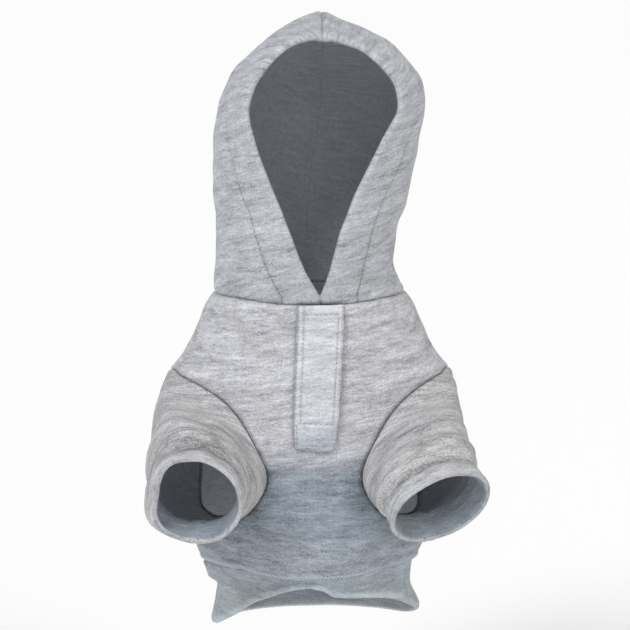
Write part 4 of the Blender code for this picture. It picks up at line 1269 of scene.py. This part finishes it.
# %% [markdown]
# ## The waistband
# The band is a tube of fine rib, folded double, and cut high over the belly. It is drawn in a little
# below its seam and spreads again at its edge. Shallow puckers hang from the seam, because the band
# is shorter round than the cloth that it gathers.

# %% Waistband
BULGE_OUT = 0.0040  # the band bags out under its seam at -X
BULGE_BOTTOM = 0.0165
BULGE_SLANT = -0.00022  # metres higher for each degree towards the front
FLARE_OUT = 0.0036  # the band's edge stands out at +X
PUCKERS = 46  # round the band
BAND_COLUMNS, BAND_ROWS = 420, 64


def waistband(name, cloth, inside):
    """An oval tube: girth and shift come from the table, puckers are a sine that fades downward."""
    around = np.linspace(-180.0, 180.0, BAND_COLUMNS, endpoint=False)[None, :]
    drop = look_up(BAND_EDGE, "drop", around) * BAND_HEIGHT
    down = crowded(0.0, 1.0, BAND_ROWS, 0.45)[:, None]
    girth, aside = (look_up(BAND, column, down) for column in ("girth", "shift"))
    turn = np.radians(around)
    middle = body_section(np.array([-BODY_LENGTH]))[2]
    u = turn * 0.5 * 0.5 * (WAIST_WIDTH + WAIST_DEPTH)
    far = drop * down
    pucker = 0.0004 * np.sin(turn * PUCKERS + 2.0 * soft_waves(u, far, 0.03, 51))
    pucker = pucker * np.exp(-far / 0.008) * ease(far / 0.002)
    waves = 0.0009 * soft_waves(u, far, 0.022, 52) * ease(far / 0.004) * ease((drop - far) / 0.006 + 0.25)
    lower = BULGE_BOTTOM + BULGE_SLANT * (around + 95.0)
    bulge = BULGE_OUT * raised(around + 98.0, 1.0, 34.0)
    waves = waves + bulge * ease(far / 0.0035) * ease((lower - far) / 0.0045)
    waves = waves + roll_in(far - lower - 0.001, 0.0008, 0.0028) * raised(around + 84.0, 1.0, 34.0)
    flare = FLARE_OUT * raised(around - 95.0, 1.0, 38.0)
    waves = waves + flare * ease((far - 0.45 * drop) / (0.5 * drop))
    groove = roll_in(far, 0.0006, 0.0008)
    swell = pucker + waves + groove + raised(drop - far - 0.0025, 0.0003, 0.0015)
    x = WAIST_WIDTH * (aside + 0.5 * girth * np.sin(turn))
    y = middle - 0.5 * WAIST_DEPTH * girth * np.cos(turn)
    z = -BODY_LENGTH - 0.5 * SEAM_GAP - far
    base = np.stack(np.broadcast_arrays(x, y, z), axis=-1)
    outward = unit(np.stack([np.sin(turn) / WAIST_WIDTH, -np.cos(turn) / WAIST_DEPTH, 0.0 * turn], axis=-1))
    outer = base + outward * swell[..., None]
    inner = base - outward * (RIB - waves - flat_topped(far, 0.0009, 0.004))[..., None]
    outer, inner = sag(outer), sag(inner)
    turns = np.append(u[0], -u[0, 0])
    fall = np.concatenate([far, far[:, :1]], axis=1)
    uv = np.stack(np.broadcast_arrays(turns[None, :], -fall), -1)
    # The folded lower edge is lighter and bluer: wear, partly painted highlight and sheen.
    wear_and_painted_light = raised(drop - far, 1.0, 0.0022) * np.ones_like(far)
    return cloth_wall(name, outer, inner, uv, (cloth, inside), ring=True, folded=("last",), wear_and_painted_light=wear_and_painted_light)


band_cloth = waistband("band_cloth", BAND_CLOTH, BAND_INSIDE_PAINTED_SHADE)

# %% [markdown]
# ## Stitches
# A row of stitches is one small shape set down again and again along a line. An array modifier on a
# curve would do it, but whole arrays are quicker: one short spindle is worked out, and every copy
# gets its own place and direction at once. Each end dips into the cloth.

# %% Stitch rows
STITCH_DIP = 0.6  # how far the ends sink, in thicknesses


def stitches(name, rows, thread):
    """Spindles along lines. Radius = thick/2 times (1 - a^4)^1/2; both ends sink by a^2 times dip."""
    faces_all, points_all, total = [], [], 0
    a = np.array([-0.92, -0.62, 0.0, 0.62, 0.92])
    ring = np.arange(6)
    turn = ring * np.pi / 3.0
    after = (ring + 1) % 6
    quads = np.concatenate([np.stack([ring, after, after + 6, ring + 6], -1) + 6 * k for k in range(4)])
    start_cap = np.stack([np.full(6, 30), after, ring], -1)
    end_cap = np.stack([np.full(6, 31), 24 + ring, 24 + after], -1)
    for line, outward, pitch, length, thick, lift in rows:
        far = length_along(line, 0)
        count = int(far[-1] / pitch)
        at = (np.arange(count) + 0.5) * far[-1] / count
        centre, up = read_line(at, far, line), unit(read_line(at, far, outward))
        along = read_line(at + 0.0005, far, line) - read_line(at - 0.0005, far, line)
        along = unit(along - up * dot(along, up))
        side = np.cross(up, along)
        radius = 0.5 * thick * np.sqrt(1.0 - a**4)
        body = centre[:, None, None] + along[:, None, None] * (0.5 * length * a)[None, :, None, None]
        body = body + side[:, None, None] * (radius[:, None] * np.cos(turn))[None, ..., None]
        height = radius[:, None] * np.sin(turn) + lift - STITCH_DIP * thick * (a**2)[:, None]
        body = (body + up[:, None, None] * height[None, ..., None]).reshape(count, 30, 3)
        tips = along[:, None] * (0.5 * length * np.array([-1.0, 1.0]))[None, :, None]
        ends = centre[:, None] + tips + up[:, None] * (lift - STITCH_DIP * thick)
        points = np.concatenate([body, ends], axis=1)
        offset = (total + 32 * np.arange(count))[:, None, None]
        faces_all += [(quads[None] + offset).reshape(-1, 4).tolist()]
        faces_all += [(np.concatenate([start_cap, end_cap])[None] + offset).reshape(-1, 3).tolist()]
        points_all.append(points.reshape(-1, 3))
        total += 32 * count
    mesh = bpy.data.meshes.new(name)
    points = np.concatenate(points_all)
    faces = [face for group in faces_all for face in group]
    mesh.from_pydata(points.tolist(), [], faces)
    corner = np.concatenate([np.array(face) for face in faces])
    layer = mesh.uv_layers.new(name="cloth")
    layer.data.foreach_set("uv", points[corner][:, [0, 2]].astype(np.float32).ravel())
    mesh.materials.append(thread)
    mesh.shade_smooth()
    print(f"{name}: {total // 32} stitches")
    return put_in_scene(name, mesh)


def line_across(outer, levels, level, ring, axis=0):
    """The line where levels, which fall or rise along one axis, reach one value in every column."""
    grids = (levels, outer, grid_normals(outer, ring))
    marks, grid, normal = (np.moveaxis(values, axis, 0) for values in grids)
    rising = np.sign(marks[-1] - marks[0])
    after = np.clip(np.argmax(rising * (marks - level) >= 0.0, axis=0), 1, len(marks) - 1)
    column = np.arange(marks.shape[1])
    share = ((level - marks[after - 1, column]) / (marks[after, column] - marks[after - 1, column]))[:, None]
    line = blend(grid[after - 1, column], grid[after, column], np.clip(share, 0.0, 1.0))
    up = normal[after, column]
    up = up * np.sign(np.sum(up * (line - outer.reshape(-1, 3).mean(0))))
    return (np.concatenate([line, line[:1]]), np.concatenate([up, up[:1]])) if ring else (line, up)


def placket_line(values):
    """Points and normals on the placket at pairs of across and down shares, blended from its grid."""
    normal = grid_normals(placket_outer, ring=False)
    normal = normal * np.sign(-normal[..., 1:2])
    across, down = values
    rows, columns = placket_down.shape
    r = np.interp(down, placket_down[:, 0], np.arange(rows))
    c = np.interp(across, placket_s[0], np.arange(columns))
    r0, c0 = np.minimum(r.astype(int), rows - 2), np.minimum(c.astype(int), columns - 2)
    fr, fc = (r - r0)[:, None], (c - c0)[:, None]

    def read(grid):
        upper = blend(grid[r0, c0], grid[r0, c0 + 1], fc)
        return blend(upper, blend(grid[r0 + 1, c0], grid[r0 + 1, c0 + 1], fc), fr)

    return read(placket_outer), unit(read(normal))


# Pitch, length, thickness and lift of the stitches
FACE_THREAD = (0.0040, 0.0026, 0.00055, 0.0001)
CUFF_THREAD = (0.0028, 0.0020, 0.00060, 0.0001)
TOP_THREAD = (0.0028, 0.0020, 0.00055, 0.0001)
STRIP_THREAD = (0.0028, 0.0021, 0.00045, 0.0)
WAIST_THREAD = (0.0024, 0.0017, 0.0007, 0.0001)
WAIST_ROWS = (0.0018, 0.0030)  # heights of the two rows above the waist seam

hood_rows = []
for outer, marks in ((left_hood_outer, left_marks), (right_hood_outer, right_marks)):
    line, up = line_across(outer, marks, HOOD_STITCH, ring=False, axis=1)
    hood_rows.append((line[2:-2], up[2:-2], *FACE_THREAD))
hood_stitches = stitches("hood_stitches", hood_rows, GREY_THREAD)

cuff_rows = []
for outer, down, side in ((right_outer, right_down, -1), (left_outer, left_down, 1)):
    line, up = line_across(outer, down, HEM_STITCH[side], ring=True)
    cuff_rows.append((line, up, *CUFF_THREAD))
cuff_stitches = stitches("cuff_stitches", cuff_rows[:1], GREY_THREAD)
line, up = line_across(left_outer, left_down, HEM_STITCH[1] + 0.0014, ring=True)
cuff_rows.append((line, up, *TOP_THREAD))
cuff_topstitches = stitches("cuff_topstitches", cuff_rows[1:], PALE_THREAD)

walks = []
for across, top, bottom in zip(*PLACKET_LINES.values()):
    walks.append(placket_line((np.full(60, across), np.linspace(max(top, 0.02), bottom, 60))))
for at, left, right in zip(*PLACKET_CROSS.values()):
    walks.append(placket_line((np.linspace(left, right, 40), np.full(40, at))))
placket_rows = [(*walk, *STRIP_THREAD) for walk in walks]
placket_stitches = stitches("placket_stitches", placket_rows, GREY_THREAD)

waist_rows = []
for outer in (front_outer, back_outer):
    above = length_along(outer[::-1], 0)[::-1]
    for level in WAIST_ROWS:
        line, up = line_across(outer[:, 1:-1], above[:, 1:-1], level, ring=False, axis=0)
        waist_rows.append((line, up, *WAIST_THREAD))
waist_stitches = stitches("waist_stitches", waist_rows, PALE_THREAD_PAINTED_SHADE)

# %% [markdown]
# ## Joining the pieces to the frame
# Each fine piece stands for a plain one, which is then hidden. Stitches ride along.

# %% Ride and replace
DRESSED = {
    "front_panel": (front_cloth, "marl_fleece"),
    "back_panel": (back_cloth, "marl_fleece"),
    "sleeve_right": (right_sleeve_cloth, "marl_fleece"),
    "sleeve_left": (left_sleeve_cloth, "marl_fleece"),
    "hood_left": (left_hood_cloth, "marl_fleece"),
    "hood_right": (right_hood_cloth, "marl_fleece"),
    "placket": (placket_cloth, "marl_fleece"),
    "waistband": (band_cloth, "marl_rib"),
}
for node, (piece, slot) in DRESSED.items():
    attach(piece, "root")
    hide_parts(node)
for piece in (hood_stitches, cuff_stitches, cuff_topstitches, placket_stitches, waist_stitches):
    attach(piece, "root")

# %% [markdown]
# ## Floor, light and camera
# The floor is a pale sheet some way below the garment. A wide soft sun from the upper left gives the
# bright chest and part of the darker belly, whose rest is painted shade in the cloth; a warmer one
# lights the other side, and a weak one in front keeps the shadows open.

# %% Floor
FLOOR_AT = -0.30
side = np.linspace(-60.0, 60.0, 13)  # a coarse net, metres wide, so its far edge never shows
floor_x, floor_y = np.meshgrid(side, side)
floor_points = np.stack([floor_x.ravel(), floor_y.ravel(), np.full(floor_x.size, FLOOR_AT)], -1)
index = np.arange(floor_x.size).reshape(13, 13)
floor_faces = np.stack([index[:-1, :-1], index[:-1, 1:], index[1:, 1:], index[1:, :-1]], -1).reshape(-1, 4)
floor_mesh = bpy.data.meshes.new("floor")
floor_mesh.from_pydata(floor_points.tolist(), [], floor_faces.tolist())
floor = put_in_scene("floor", floor_mesh)
floor_paint = bpy.data.materials.new("pale_floor")
floor_paint.use_nodes = True
paint = floor_paint.node_tree.nodes["Principled BSDF"].inputs
paint["Base Color"].default_value = (0.99, 0.985, 0.965, 1.0)
paint["Roughness"].default_value = 0.9
floor_mesh.materials.append(floor_paint)

# %% Light
world = bpy.data.worlds.new("pale_room")
bpy.context.scene.world = world
world.use_nodes = True
room = world.node_tree.nodes["Background"].inputs
room["Color"].default_value = (0.95, 0.97, 1.0, 1.0)
room["Strength"].default_value = 0.55
SUNS = {  # where it shines from, strength, spread in degrees and colour
    "key": ((-0.80, -1.0, 1.25), 1.57, 26.0, (0.965, 0.98, 1.0)),
    "warm_side": ((0.90, -1.0, 1.10), 0.66, 26.0, (1.0, 0.945, 0.86)),
    "front_fill": ((0.1, -1.0, 0.15), 0.30, 40.0, (0.95, 0.97, 1.0)),
}
for name, (place, strength, spread, colour) in SUNS.items():
    lamp = bpy.data.lights.new(name, "SUN")
    lamp.energy = strength
    lamp.angle = np.radians(spread)
    lamp.color = colour
    holder = put_in_scene(name, lamp)
    holder.location = place
    holder.rotation_euler = Vector(place).to_track_quat("Z", "Y").to_euler()

# %% Camera
AZIMUTH, ELEVATION, DISTANCE = np.radians(-3.0), np.radians(8.5), 1.7
PICTURE_WIDTH = 0.378  # metres across the picture at the garment
SENSOR = 36.0
right = Vector((np.cos(AZIMUTH), np.sin(AZIMUTH), 0.0))
toward = Vector((np.sin(AZIMUTH) * np.cos(ELEVATION), -np.cos(AZIMUTH) * np.cos(ELEVATION), np.sin(ELEVATION)))
aim = 0.0033 * right - 0.0147 * toward.cross(right)
camera_data = bpy.data.cameras.new("camera")
camera_data.sensor_width = SENSOR
camera_data.lens = SENSOR * DISTANCE / PICTURE_WIDTH
camera = put_in_scene("camera", camera_data)
camera.location = aim + DISTANCE * toward
camera.rotation_euler = (-toward).to_track_quat("-Z", "Y").to_euler()
bpy.context.scene.camera = camera
bpy.context.scene.view_settings.view_transform = "Standard"
